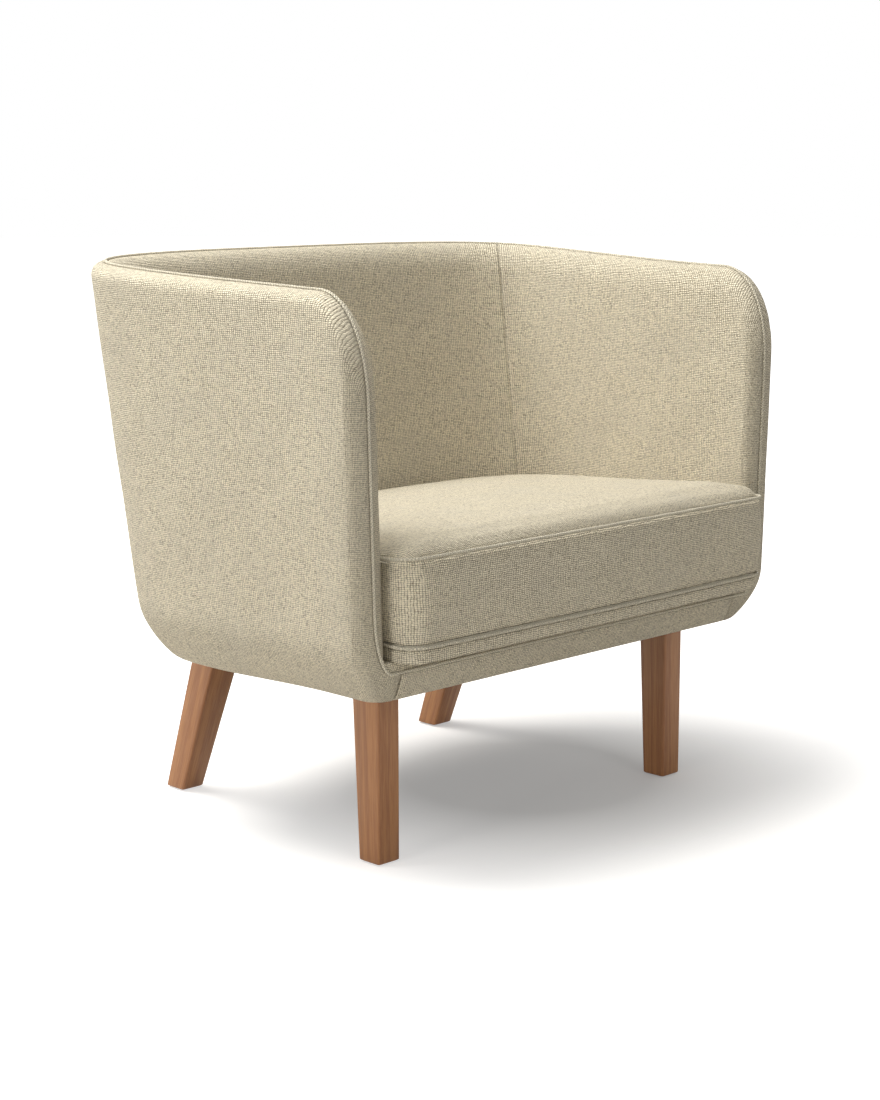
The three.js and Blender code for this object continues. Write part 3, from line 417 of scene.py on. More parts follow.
def plan(s, z):
    """Plan of the wall's middle at a station and height: straight arms that bow out a little, then a
    superellipse round the back; further down, the plan narrows and its back moves in."""
    top = crown_over(s)
    level = (top - z) / (top - underside)
    start = corner_start - corner_advance * level
    half = nose_half_width - side_taper * level
    front = nose_depth * (1 - np.cos(nose_turn(s)))
    y = np.where(s < 1, front, nose_depth + (start - nose_depth) * (s - 1))
    x = half + arm_bow * eased(y, bow_start, start)
    turn = corner_turn(s)
    reach = shell_depth - back_lean * level - start
    back_x = (half + arm_bow) * np.maximum(np.cos(turn), 0) ** (2 / corner_power) * np.where(s > 3, -1, 1)
    back_y = start + reach * np.sin(turn) ** (2 / corner_power)
    return np.where(s < 2, x, back_x), np.where(s < 2, y, back_y)


def plan_normal(s, z):
    """The plan's outward normal, from the difference of two near stations."""
    step = 1e-3
    xa, ya = plan(np.clip(s - step, 0, 4), z)
    xb, yb = plan(np.clip(s + step, 0, 4), z)
    length = np.hypot(xb - xa, yb - ya)
    return (yb - ya) / length, (xa - xb) / length


def wall(s, z, offset):
    """Points at an offset from the wall's middle, outwards positive, in the chair's frame."""
    s, z = np.broadcast_arrays(s, z)
    x, y = plan(s, z)
    nx, ny = plan_normal(s, z)
    return stacked(x + nx * offset, y + ny * offset + front_plane, z)


def seam_height(s):
    """Height of the seam over a station, found in a few steps because the arm's stations lean."""
    top = crown_over(s)
    for _ in range(5):
        top = np.where(s < 2, edge_height(plan(s, top)[1]), top)
    return top


def fullness(s, z, roll, power):
    """How far the padding has swelled: 0 on the seam, 1 past the roll of the crown and of the arm front."""
    setback = np.where(s < 2, (plan(s, z)[1] - edge_setback(z)) / nose_depth, 1)
    drop = (seam_height(s) - z) / roll
    in_nose = 1 - (1 - np.clip(setback, 0, 1)) ** power
    in_roll = 1 - (1 - np.clip(drop, 0, 1)) ** power
    return np.sqrt(in_nose * in_roll)


def bulge_at(s):
    """Bulge of the outside: full on the arms, easing to the flatter back over the rear corner."""
    return arm_bulge + (back_bulge - arm_bulge) * eased(np.minimum(s - 2, 4 - s), 0, bulge_ramp)


def spans(line):
    """Lengths of the steps along a line of points."""
    return np.linalg.norm(np.diff(line, axis=0), axis=-1)


def running(steps):
    """The running sum of steps, from 0."""
    return np.concatenate([[0], np.cumsum(steps)])


def even_stations(first, last, step):
    """Stations a step apart along the wall, from the running length of its plan halfway up."""
    fine = np.linspace(first, last, 20001)
    x, y = plan(fine, np.full(fine.shape, (underside + arm_top) / 2))
    run = running(np.hypot(np.diff(x), np.diff(y)))
    count = int(np.ceil(run[-1] / step)) + 1
    return np.interp(np.linspace(0, run[-1], count), run, fine)


def grid_normals(grid):
    """Normals of a grid of points from its differences along rows and down columns."""
    normal = np.cross(np.gradient(grid, axis=1), np.gradient(grid, axis=0))
    return normal / np.maximum(np.linalg.norm(normal, axis=-1, keepdims=True), 1e-12)


def sheet(front, back):
    """Points and faces of a closed sheet between two grids, joined round their rim."""
    rows, columns = front.shape[:2]
    count = rows * columns
    face = quads(rows, columns)
    top, bottom = np.arange(columns), (rows - 1) * columns + np.arange(columns)
    left, right = np.arange(rows) * columns, np.arange(rows) * columns + columns - 1
    rim = [stacked(a[1:], a[1:] + count, a[:-1] + count, a[:-1])
           for a in (top[::-1], bottom, left, right[::-1])]
    points = np.concatenate([front.reshape(-1, 3), back.reshape(-1, 3)])
    return points, np.concatenate([face, face[:, ::-1] + count, *rim])


def foam_material():
    """Cut foam: open cells as fine Voronoi pits in a warm off-white."""
    made, tree, shader = new_material("cut_foam", 0.95)
    cells = put(tree, "TexVoronoi", {"Vector": object_place(tree), "Scale": 700.0}).outputs["Distance"]
    tone = mixed(tree, cells, (0.76, 0.71, 0.56, 1), (0.62, 0.56, 0.42, 1))
    tone = mixed(tree, noise(tree, object_place(tree), 18.0), tone, (0.72, 0.68, 0.56, 1))
    tree.links.new(tone, shader.inputs["Base Color"])
    add_bump(tree, shader, 0.5, 0.0008, cells)
    return made


cut_foam = foam_material()
inner_joint, outer_joint = 2.31, 2.56
foam_foot, outer_foot = 0.294, 0.29
border_share = 0.25
rail_seam = 0.2625
seam_turn_width, seam_turn_height = 0.026, 0.072
foam_gap = cover_thickness + clearance
joint_gap = 0.00004 / corner_depth
joint_depth, joint_reach = 0.0005, 0.003
hands = (("right", 1), ("left", -1))


def seam_shift(z, spread):
    """Offset of the seam on the arm front, or of a border a spread away from it: below the arm it turns in
    on an ellipse and runs along the rail."""
    drop = (rail_seam + seam_turn_height - z) / (seam_turn_height + spread)
    turned = (seam_turn_width + spread) * np.sqrt(np.clip(1 - drop ** 2, 0, 1)) - seam_turn_width
    return np.where(drop <= 0, spread, turned)


def swell(s, z):
    """Slight unevenness of hand-drawn padding: long sine waves of under a millimetre."""
    wide = 0.0005 * np.sin(9.0 * s + 14.0 * z) * np.sin(31.0 * z + 2.3 * s)
    return wide + 0.0003 * np.sin(23.0 * s - 9.0 * z)


def joint_dip(s, z, joints):
    """Depth by which cloth sinks beside its sewn upright seams, falling off within their reach."""
    depth = np.zeros(np.broadcast(s, z).shape)
    for joint in joints:
        xa, ya = plan(s, z)
        xb, yb = plan(np.full_like(s, joint), z)
        away = np.hypot(xa - xb, ya - yb)
        depth = depth + joint_depth * np.clip(1 - away / joint_reach, 0, 1) ** 2
    return depth


def seam_dip(grid, s, z, away):
    """Sinks a cloth border into its seam, straight in from the seam and less with the distance from it."""
    share = seam_sink * np.clip(1 - away / seam_sink_reach, 0, 1) ** 2
    sight = 1e-3
    behind = np.where(s < 2, plan(s, z)[1] - edge_setback(z - sight), 1)
    behind = np.maximum(behind, 0) + 1e-7
    below = seam_height(s) - z + sight
    length = np.hypot(behind, below)
    grid[..., 1] += share * below / length
    grid[..., 2] -= share * behind / length
    return grid


def row_heights(s, roll, foot, roll_rows, wall_rows):
    """Heights of the rows under a station: crowded near the seam over the roll, even down to the foot."""
    top = seam_height(s)
    share = np.linspace(0, 1, roll_rows + 1)[:, None] ** 2
    over = top - roll * share
    down = over[-1] + (foot - over[-1]) * np.linspace(0, 1, wall_rows + 1)[1:, None]
    return np.concatenate([over, down])


def inner_face(s, roll_rows, wall_rows, foot, detail=True):
    """The inside of the tub: the wall offset inwards by its bulge, down to the foot behind the seat."""
    z = row_heights(s, inner_roll, foot, roll_rows, wall_rows)
    s = np.broadcast_to(s, z.shape)
    full = fullness(s, z, inner_roll, 2)
    offset = -(seam_half_gap + (inner_bulge - seam_half_gap) * full)
    hold = np.clip(1 - s / border_share, 0, 1)
    border = seam_shift(z, -seam_half_gap) + seam_half_gap
    if detail:
        offset = offset + swell(s, z) * full + joint_dip(s, z, (inner_joint, 6 - inner_joint))
    grid = wall(s, z, offset)
    grid[..., 0] += border * hold
    if detail:
        away = (inner_bulge - seam_half_gap) * full
        grid = seam_dip(grid, s, z, away)
    return grid, s, z


def mirrored(points):
    """The same points on the other hand of the chair."""
    return points * np.array([-1, 1, 1])


def sunk(grid, depth, facing):
    """The grid moved in below the face it shows; facing is 1 inside the tub and -1 outside it."""
    return grid - grid_normals(grid) * depth * facing


def inner_foam(s):
    """Foam from just under the cloth to the board; at the crown and arm front it rolls over the board's
    edge, to six tenths of the outside's bulge."""
    face, s, z = inner_face(s, 8, 20, foam_foot, detail=False)
    outer = (bulge_at(s) - seam_half_gap) * fullness(s, z, outer_roll, outer_roll_power)
    near_top = np.clip(1 - (seam_height(s) - z) / inner_roll, 0, 1)
    near_nose = np.clip(1 - s, 0, 1)
    rolled = np.maximum(np.minimum(0.6 * outer - cover_thickness, board_face), -welt_radius)
    offset = np.where((near_top > 0) | (near_nose > 0), rolled, -board_inset - glue_gap)
    back = wall(s, z - 2 * foam_gap * near_top, offset)
    back[..., 1] += 2 * foam_gap * near_nose
    return sheet(sunk(face, foam_gap, 1), back)


def outer_foam(s):
    """A thinner slab between board and outer cloth, from below the crown's roll to the bottom roll."""
    top = seam_height(s) - outer_roll
    z = top + (outer_foot - top) * np.linspace(0, 1, 20)[:, None]
    s = np.broadcast_to(s, z.shape)
    full = fullness(s, z, outer_roll, outer_roll_power)
    face = wall(s, z, seam_half_gap + (bulge_at(s) - seam_half_gap) * full - foam_gap)
    return sheet(face, wall(s, z, board_face + glue_gap))


def arm_stations(joint, step):
    """Stations of an arm's layer: close round the arm front, then a step apart to the joint with the back."""
    return np.concatenate([np.linspace(0, 1, 25)[:-1], even_stations(1, joint - joint_gap, step)])


def back_stations(joint, step):
    """Stations of a back's layer, from joint to joint."""
    return even_stations(joint + joint_gap, 6 - joint - joint_gap, step)


def foam_piece(name, body, node):
    """A foam slab that stands for the CAD's plain one."""
    piece = make_piece(name, body[0], body[1], cut_foam)
    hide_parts(node)


outer_stations = np.concatenate([np.linspace(1, 1.2, 8)[:-1],
                                 even_stations(1.2, outer_joint - joint_gap, foam_step)])
inner_arm_foam, outer_arm_foam = inner_foam(arm_stations(inner_joint, foam_step)), outer_foam(outer_stations)
for hand, sign in hands:
    turn = np.array([sign, 1, 1])
    foam_piece("inner_pad_" + hand, (inner_arm_foam[0] * turn, inner_arm_foam[1]), "inner_foam_" + hand)
    foam_piece("outer_pad_" + hand, (outer_arm_foam[0] * turn, outer_arm_foam[1]), "outer_padding_" + hand)
foam_piece("inner_pad_back", inner_foam(back_stations(inner_joint, foam_step)), "inner_foam_back")
foam_piece("outer_pad_back", outer_foam(back_stations(outer_joint, foam_step)), "outer_padding_back")

# Covers of the tub: an oatmeal hopsack of thick and thin yarns, drawn tight over the foam.
# Inside and outside are each cut in three and sewn to one another down the rear corners;
# along the crown and the arm fronts their borders sink into the piped seam.

cloth_light, cloth_dark, cloth_tint = (0.96, 0.862, 0.645, 1), (0.25, 0.195, 0.115, 1), (0.66, 0.60, 0.48, 1)
yarn_pitch, yarn_stray, cell_shape = 0.00235, 0.0045, (0.78, 1.0, 1.0)
# gap_shade_share weights the painted shade of the weave: yarn tops lighter, the gaps between yarns darker.
gap_shade_share, broad_share, tone_shift = 1.3, 0.08, -0.06


def hopsack_group():
    """A weave on a surface place in metres: cells a little wider than high, in which weft and warp lie on top
    by turns. Noise that is drawn out along each single yarn makes it thick and thin, light and dark; broad
    noise gives patches of another tone."""
    tree, given, result = new_group(
        "hopsack",
        [("Vector", "Vector", None), ("Light", "Color", (1, 1, 1, 1)), ("Dark", "Color", (0, 0, 0, 1)),
         ("Tint", "Color", (1, 1, 1, 1)), ("Pitch", "Float", yarn_pitch), ("Slub", "Float", 1.0)],
        [("Color", "Color"), ("Height", "Float"), ("Roughness", "Float")])
    at = given.outputs["Vector"]
    stray = noise(tree, at, 70.0, 3.0, "Color", Roughness=0.7)
    centred = vector_maths(tree, "SUBTRACT", {0: stray, 1: (0.5, 0.5, 0.5)})
    shift = vector_maths(tree, "SCALE", {0: centred, "Scale": yarn_stray})
    moved = vector_maths(tree, "ADD", {0: at, 1: shift})
    count = maths(tree, "DIVIDE", 1.0, given.outputs["Pitch"])
    cells = vector_maths(tree, "SCALE", {0: moved, "Scale": count})
    cells = vector_maths(tree, "MULTIPLY", {0: cells, 1: cell_shape})
    place = put(tree, "SeparateXYZ", {0: cells}).outputs
    whole = put(tree, "SeparateXYZ", {0: vector_maths(tree, "FLOOR", {0: cells})}).outputs
    arches = [maths(tree, "ABSOLUTE", maths(tree, "SINE", maths(tree, "MULTIPLY", place[way], np.pi)))
              for way in (0, 1)]
    crown = maths(tree, "SQRT", maths(tree, "MULTIPLY", *arches))
    yarns = []
    for way, drawn_out, apart, layer in ((0, 0.7, 3.71, 0.0), (1, 0.8, 4.37, 9.3)):
        along = maths(tree, "MULTIPLY", place[way], drawn_out)
        across = maths(tree, "MULTIPLY", whole[1 - way], apart)
        own = put(tree, "CombineXYZ", {way: along, 1 - way: across, 2: layer}).outputs[0]
        yarns.append(noise(tree, own, 1.0, 1.0))
    weft, warp = yarns
    over = maths(tree, "FLOORED_MODULO", maths(tree, "ADD", whole[0], whole[1]), 2.0)
    tone = maths(tree, "MULTIPLY_ADD", maths(tree, "SUBTRACT", weft, warp), over, warp)
    value = maths(tree, "MULTIPLY", maths(tree, "ADD", tone, -0.5), given.outputs["Slub"])
    # The crown of each cell lightens the colour on top of the yarns and darkens it in the gaps between them,
    # which is painted shade; the same crown also gives the bump its height.
    value = maths(tree, "MULTIPLY_ADD", crown, gap_shade_share, value)
    value = maths(tree, "MULTIPLY_ADD", noise(tree, at, 26.0, 3.0), broad_share, value)
    share = maths(tree, "ADD", value, tone_shift, clamp=True)
    cloth = mixed(tree, share, given.outputs["Dark"], given.outputs["Light"])
    patch = ranged(tree, noise(tree, at, 14.0, 1.0, Distortion=0.5), (0.45, 0.7), (0, 0.2))
    tree.links.new(mixed(tree, patch, cloth, given.outputs["Tint"]), result.inputs["Color"])
    tree.links.new(maths(tree, "MULTIPLY_ADD", tone, 0.8, crown), result.inputs["Height"])
    tree.links.new(ranged(tree, tone, target=(0.98, 0.86)), result.inputs["Roughness"])
    return tree


hopsack = hopsack_group()


def cloth_material(name, light, dark, tint, slub, turn=0.0):
    """Woven cloth on the piece's own UV map in metres, turned for cloth that is cut on the bias."""
    made, tree, shader = new_material(name, 0.95)
    place = put(tree, "UVMap", uv_map="cloth_place").outputs[0]
    laid = put(tree, "Mapping", {"Vector": place, "Rotation": (0, 0, turn)}).outputs[0]
    values = {"Vector": laid, "Light": light, "Dark": dark, "Tint": tint, "Slub": slub}
    shade_by_group(tree, shader, hopsack, values, 1.0, 0.0021)
    shader.inputs["Sheen Weight"].default_value = 0.12
    shader.inputs["Sheen Roughness"].default_value = 0.5
    shader.inputs["Specular IOR Level"].default_value = 0.2
    return made


oatmeal = cloth_material("oatmeal_hopsack", cloth_light, cloth_dark, cloth_tint, 1.9)


def run_lengths(grid, row, column):
    """Surface place of each grid point in metres: the running length along a row, and the height less what
    a column runs on its way down beyond its drop in height."""
    line = grid[:, column]
    beyond = spans(line) - np.abs(np.diff(line[:, 2]))
    return stacked(running(spans(grid[row])), grid[..., 2] - running(beyond)[:, None])


def cover_piece(name, face, facing, node, shift=(0, 0), thickness=cover_thickness, laid=None):
    """A cover as cloth with its real thickness below the face it shows. The weave runs as on the laid grid,
    which is the face before its border was moved in."""
    laid = face if laid is None else laid
    place = run_lengths(laid, len(laid) // 2, laid.shape[1] // 2) + np.array(shift)
    place[..., 0] += (face[..., 0] - laid[..., 0]) * np.sign(laid[..., 0])
    points, faces = sheet(face, sunk(face, thickness, facing))
    piece = make_piece(name, points, faces, oatmeal, place=np.concatenate([place.reshape(-1, 2)] * 2))
    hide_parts(node)


cloth_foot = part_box("side_rail_right")[1].z + 2 * clearance
inner_arm = inner_face(arm_stations(inner_joint, cloth_step), 12, 78, cloth_foot)[0]
inner_back = inner_face(back_stations(inner_joint, cloth_step), 12, 78, cloth_foot)[0]
for hand, sign in hands:
    cover_piece("inner_cloth_" + hand, inner_arm * [sign, 1, 1], sign, "inner_cover_" + hand,
                (0.3 * sign, 0.1))
cover_piece("inner_cloth_back", inner_back, 1, "inner_cover_back", (1.7, 0.05))

side_roll_inset, back_roll_inset, front_roll_inset = 0.0426, 0.0334, 0.0175
side_roll_height, front_roll_height = 0.0664, 0.046
bottom_power = 1.3
under_corner_radius, under_turn = 0.024, 0.016
front_joint, front_joint_depth = 0.315, 0.0013
step_height = rail_seam - seam_half_gap


def panel_dip(x):
    """Depth by which the cloth sinks at the upright seams of the front, falling off within their reach."""
    return front_joint_depth * np.clip(1 - np.abs(np.abs(x) - front_joint) / joint_reach, 0, 1) ** 2


def bottom_inset(s):
    """How far the bottom roll draws the cover in at a station."""
    front = front_roll_inset + (side_roll_inset - front_roll_inset) * np.sin(nose_turn(s))
    back = np.clip(np.minimum(s - 2, 4 - s), 0, 1)
    return np.where(s < 1, front, side_roll_inset + (back_roll_inset - side_roll_inset) * back)


def bottom_height(s):
    """Height at which the bottom roll begins over a station."""
    return front_roll_height + (side_roll_height - front_roll_height) * np.sin(nose_turn(s))


def under_edge(s, extra):
    """Edge of the underside: the wall drawn in by the roll, with a quarter circle at each front corner."""
    arm_run = corner_start - corner_advance - nose_depth
    first = (front_roll_inset + under_corner_radius - nose_depth) / arm_run
    moved = np.where((s >= 1) & (s < 2), 1 + first + (1 - first) * (s - 1), s)
    offset = bulge_at(s) - bottom_inset(s) - extra
    edge = wall(moved, np.full(s.shape, underside), offset)
    side_offset = arm_bulge - side_roll_inset - extra
    at_side = wall(np.array([1.0 + first]), np.array([underside]), side_offset)[0, 0]
    radius = under_corner_radius - extra
    turn = nose_turn(s)
    edge[:, 0] = np.where(s < 1, at_side - radius + radius * np.sin(turn), edge[:, 0])
    depth = front_plane + front_roll_inset + extra + radius - radius * np.cos(turn)
    edge[:, 1] = np.where(s < 1, depth, edge[:, 1])
    return edge


def bottom_turns(rows):
    """Angles of the rows over the bottom roll, with a pair at the rail seam where the border steps in."""
    drop = underside + front_roll_height - step_height
    joint = np.arcsin((drop / front_roll_height) ** (bottom_power / 2))
    step = 0.004
    return np.concatenate([[joint / 2, joint - step, joint + step], np.linspace(joint, quarter, rows)[1:]])


def softened(grid, first):
    """The grid with its rows from the first one on drawn towards their neighbours above and below, five
    times over, so that the ends of the bottom roll run out softly."""
    grid = np.array(grid)
    for _ in range(5):
        middle = (grid[first - 1:-2] + grid[first + 1:]) / 2
        grid[first:-1] += (middle - grid[first:-1]) / 2
    return grid


def outer_face(s, roll_rows, wall_rows, bottom_rows):
    """The outside of the tub: over the roll and down the wall, then in by a superelliptic bottom roll to the
    turned-under margin. Below the arm the front border moves in, first with the seam, then to the joint."""
    foot = underside + bottom_height(s)
    z = row_heights(s, outer_roll, foot, roll_rows, wall_rows)
    wide = np.broadcast_to(s, z.shape)
    full = fullness(wide, z, outer_roll, outer_roll_power)
    joints = joint_dip(wide, z, (outer_joint, 6 - outer_joint))
    plain = seam_half_gap + (bulge_at(wide) - seam_half_gap) * full
    grid = wall(wide, z, plain + swell(wide, z) * full - joints)
    under, last = under_edge(s, 0), grid[-1]
    bottom = []
    for turn in bottom_turns(bottom_rows):
        point = last + (under - last) * (1 - np.cos(turn) ** (2 / bottom_power))
        point[:, 2] = foot - bottom_height(s) * np.sin(turn) ** (2 / bottom_power)
        bottom.append(point)
    margin = [under_edge(s, under_turn * share) for share in (0.25, 0.6, 1)]
    grid = softened(np.concatenate([grid, bottom, margin]), len(grid) - 4)
    laid = np.array(grid)
    border = grid[:, 0, 2]
    wanted = np.where(border > step_height, grid[:, 0, 0] + seam_shift(border, seam_half_gap) - seam_half_gap,
                      front_joint + clearance)
    move = wanted - grid[:, 0, 0]
    hold = np.clip(1 - s / border_share, 0, 1)
    grid[..., 0] += move[:, None] * hold
    return grid, full, move, laid


def outer_cover_face(s):
    """The outer face with its border sunk into the seam, by the distance from that border; and the face as
    the weave is laid on it."""
    grid, full, move, laid = outer_face(s, 9, 70, 16)
    rows = len(full)
    wide, z = np.broadcast_to(s, grid.shape[:2]), grid[..., 2]
    round_nose = np.sin(nose_turn(wide[rows:]))
    away = (bulge_at(wide) - seam_half_gap) * np.concatenate([full, round_nose])
    away = away - move[:, None] * np.clip(wide / border_share, 0, 1)
    below = (z < step_height) & (grid[..., 0] < nose_half_width - seam_turn_width - side_taper)
    away = np.where(below, np.minimum(away, step_height - z), away)
    grid[..., 1] += np.where((z < step_height) & (wide < 1), panel_dip(grid[..., 0]), 0)
    return seam_dip(grid, wide, z, away), laid


outer_arm_face, arm_laid = outer_cover_face(arm_stations(outer_joint, cloth_step))
for hand, sign in hands:
    cover_piece("outer_cloth_" + hand, outer_arm_face * [sign, 1, 1], -sign, "outer_cover_" + hand,
                (0.9 * sign, 0.2), laid=arm_laid * [sign, 1, 1])
outer_back_face = outer_cover_face(back_stations(outer_joint, cloth_step))[0]
cover_piece("outer_cloth_back", outer_back_face, -1, "outer_cover_back", (2.9, 0))

# Front of the seat rail: a panel below the piping that rolls under the chair, and a strip above it.
# Both are the same cloth stapled to the rail, with an upright seam at either end of the panel.

strip_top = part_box("rail_cover")[1].z
strip_foot = rail_seam + seam_half_gap
strip_thickness = 0.0012
strip_return = [0.03, 0.015, 0.004]
strip_groove, groove_reach, strip_proud = 0.001, 0.0009, 0.0006


def front_panel():
    """The lower end of the arm cover's front border, the same all along, from the rail seam to the
    underside."""
    y, z = arm_laid[arm_laid[:, 0, 2] < step_height, 0, 1:].T
    inner = front_joint - np.array([0, 0.0005, 0.001, 0.0018, 0.003, 0.005])
    x = np.concatenate([-inner, np.linspace(-inner[-1], inner[-1], 130)[1:-1], inner[::-1]])
    grid = stacked(x[None, :], y[:, None], z[:, None])
    top = np.clip(1 - (z[0] - z) / seam_sink_reach, 0, 1) ** 2
    grid[..., 1] += seam_sink * top[:, None] + panel_dip(x)[None, :]
    return grid


def rail_strip():
    """A strip from the piping up and back over the rail below the seat, its ends cut to the turn of the seam.
    Its middle lies back from its ends by the thickness of a seam, with a groove between them."""
    z = np.concatenate([np.full(3, strip_top), np.linspace(strip_top, strip_foot + 0.006, 5),
                        strip_foot + np.array([0.004, 0.0025, 0.001, 0])])
    back = np.concatenate([strip_return, np.zeros(len(z) - 3)])
    half = plan(np.zeros(z.shape), z)[0] + seam_shift(z, -seam_half_gap) - 2 * clearance
    near = front_joint + np.array([-0.004, -0.002, -0.001, -0.0005, 0, 0.0005, 0.001, 0.002])
    beside = front_joint + 0.004
    fixed = np.concatenate([-near[::-1], np.linspace(-near[0], near[0], 131)[1:-1], near])
    spread = beside + (half - beside)[:, None] * np.linspace(0, 1, 6)
    x = np.concatenate([-spread[:, ::-1], np.broadcast_to(fixed, (len(z), len(fixed))), spread], 1)
    edge = np.clip(1 - (z - z[-1]) / seam_sink_reach, 0, 1) ** 2
    from_joint = np.abs(x) - front_joint
    proud = strip_proud * np.clip(from_joint / 0.0005, -1, 1)
    groove = strip_groove * np.clip(1 - np.abs(from_joint) / groove_reach, 0, 1)
    y = front_plane + (clearance * edge + back)[:, None] + groove - proud
    return stacked(x, y, z[:, None])


cover_piece("front_cloth", front_panel(), -1, "front_cover", (0.4, 0.7))
cover_piece("rail_cloth", rail_strip(), -1, "rail_cover", (0.1, 0.9), strip_thickness)

# Shell piping: one length of cord wrapped in a bias-cut strip of the same cloth, sewn into the seam
# along the crown and down both arm fronts, then round a turn and along the seat rail.

bias_oatmeal = cloth_material("oatmeal_bias", (0.90, 0.82, 0.63, 1), (0.50, 0.45, 0.34, 1),
                              (0.78, 0.70, 0.55, 1), 1.0, np.radians(45))
piping_sides, piping_radius, piping_lift = 12, 0.002, 0.0003


def piping_piece(name, line, outs, lift, node):
    """A round cord swept along a closed line: circles across the line, raised from it by the lift along the
    line's own upward side, with a slight unevenness of the sewn strip."""
    along = np.roll(line, -1, 0) - np.roll(line, 1, 0)
    along /= np.linalg.norm(along, axis=1, keepdims=True)
    outs = outs - along * np.einsum("ij,ij->i", outs, along)[:, None]
    outs /= np.linalg.norm(outs, axis=1, keepdims=True)
    over = np.cross(outs, along)
    run = running(spans(line))
    radius = piping_radius * (1 - 0.03 * np.sin(run * 420) * np.sin(run * 37))
    turn = np.linspace(0, 4 * quarter, piping_sides, endpoint=False)
    round_way = outs[:, None] * np.cos(turn)[:, None] + over[:, None] * np.sin(turn)[:, None]
    points = (line + over * lift)[:, None] + radius[:, None, None] * round_way
    faces = quads(len(line), piping_sides, around=True, closed=True)
    reach = np.abs(turn - 2 * quarter) * piping_radius
    place = stacked(run[:, None], reach[None, :])
    piece = make_piece(name, points, faces, bias_oatmeal, place=place)
    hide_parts(node)


def arm_seam(y, z):
    """Points of the seam over the arm, from their set-back and height."""
    level = (crown_height(y) - z) / (crown_height(y) - underside)
    start = corner_start - corner_advance * level
    x = nose_half_width - side_taper * level + arm_bow * eased(y, bow_start, start)
    return stacked(x, y + front_plane, z)


def shell_seam():
    """The right half of the seam: along the rail, a quarter ellipse, up the arm front, the superelliptic
    corner, the arm's crown and the back's crown to its middle. With each point goes its outward side."""
    foot = float(edge_height(0.0))
    turn_x = float(plan(np.array([0.0]), np.array([rail_seam]))[0][0]) - seam_turn_width
    rail = np.linspace(0, turn_x, 80)[:-1]
    lines = [stacked(rail, front_plane, rail_seam)]
    outs = [np.tile([0.0, 0.0, -1.0], (len(rail), 1))]
    turn = np.linspace(0, quarter, 28)
    z = rail_seam + seam_turn_height * (1 - np.cos(turn))
    x = plan(np.zeros(z.shape), z)[0] + seam_turn_width * (np.sin(turn) - 1)
    lines.append(stacked(x, front_plane, z)[:-1])
    slope = stacked(seam_turn_height * np.sin(turn), 0, -seam_turn_width * np.cos(turn) - 1e-9)
    outs.append(slope[:-1])
    z = np.linspace(rail_seam + seam_turn_height, foot, 60)[:-1]
    lines.append(arm_seam(np.zeros(z.shape), z))
    turn = np.linspace(0, quarter, 60)[:-1]
    y = arm_corner_length * (1 - np.cos(turn) ** (2 / arm_corner_power))
    z = crown_height(y) - arm_corner_height * (1 - np.sin(turn) ** (2 / arm_corner_power))
    lines.append(arm_seam(y, z))
    y = np.linspace(arm_corner_length, corner_start, 70)[:-1]
    lines.append(arm_seam(y, crown_height(y)))
    outs.append(np.tile([1.0, 0.0, 0.0], (sum(len(line) for line in lines[2:]), 1)))
    s = even_stations(2, 3, cloth_step)
    lines.append(wall(s, crown_over(s), 0 * s))
    nx, ny = plan_normal(s, crown_over(s))
    outs.append(stacked(nx, ny, 0))
    return np.concatenate(lines), np.concatenate(outs)


def both_hands(line, outs):
    """A half line closed with its mirror image."""
    return (np.concatenate([line, mirrored(line[1:-1][::-1])]),
            np.concatenate([outs, mirrored(outs[1:-1][::-1])]))


seam_line, seam_outs = both_hands(*shell_seam())
piping_piece("shell_welt", seam_line, seam_outs, piping_lift, "shell_piping")

# Seat: a foam block on a plywood board, covered by a crowned top panel, a boxing round its sides and a
# narrow band below. Two rows of piping edge the boxing. Its top falls a little to the back, and the
# four seat screws pull the board down on the corner blocks.

seat_gap, seat_overhang, seat_bow, seat_corner_radius = 0.0035, 0.035, 0.004, 0.028
seat_welt_height, seat_fall = 0.402, 0.043
seat_shoulder, shoulder_power, seat_dome = 0.018, 60, 0.013
boxing_bulge = 0.003
seat_hollow, seat_hollow_reach = 0.0015, 0.006
band_bottom, band_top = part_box("seat_band")[0].z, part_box("seat_band")[1].z
low_welt_height = band_top + clearance + welt_radius
boxing_bottom = low_welt_height + welt_radius + clearance
nominal_boxing, band_margin = 0.09, 0.027
seat_middle = np.array([0, shell_depth / 2 - 2 * seat_overhang + front_plane])
seat_rear = even_stations(2, 3, 0.006)


def seat_level(y):
    """Height of the top seam over a depth in the chair's frame: it falls evenly to the back."""
    return seat_welt_height - seat_fall * (y - front_plane + seat_overhang) / shell_depth


def seat_ring(inset, height, push=0.0):
    """Outline of the seat at a height, or at a height that depends on depth: a bowed front, two quarter
    circles, then the tub's own wall with its gap. It begins and ends at the middle of the back; the push
    moves the front forward."""
    rises = height if callable(height) else lambda y: np.full(np.shape(y), height)
    reach = -(inner_bulge + seat_gap + inset)
    radius = seat_corner_radius - inset
    front = front_plane + inset - seat_overhang
    level = float(rises(np.array(front)))
    side_line = float(wall(np.array([1.0]), np.array([level]), reach)[0, 0])
    share = np.linspace(0, 1, 66)[:-1]
    x = (side_line - radius) * share
    y = front - seat_bow * (1 - share ** 2) - push
    turn = np.linspace(0, quarter, 13)
    x = np.concatenate([x, side_line - radius + radius * np.sin(turn)])
    y = np.concatenate([y, front + radius - (radius + push) * np.cos(turn)])
    half = stacked(x, y, rises(y))
    s = np.concatenate([np.linspace(1, 2, 75)[1:-1], seat_rear])
    z = np.full(s.shape, level)
    for _ in range(4):
        z = rises(wall(s, z, reach)[:, 1])
    half = np.concatenate([half, wall(s, z, reach)])
    return np.roll(np.concatenate([half, mirrored(half[1:-1][::-1])]), 1 - len(half), 0)


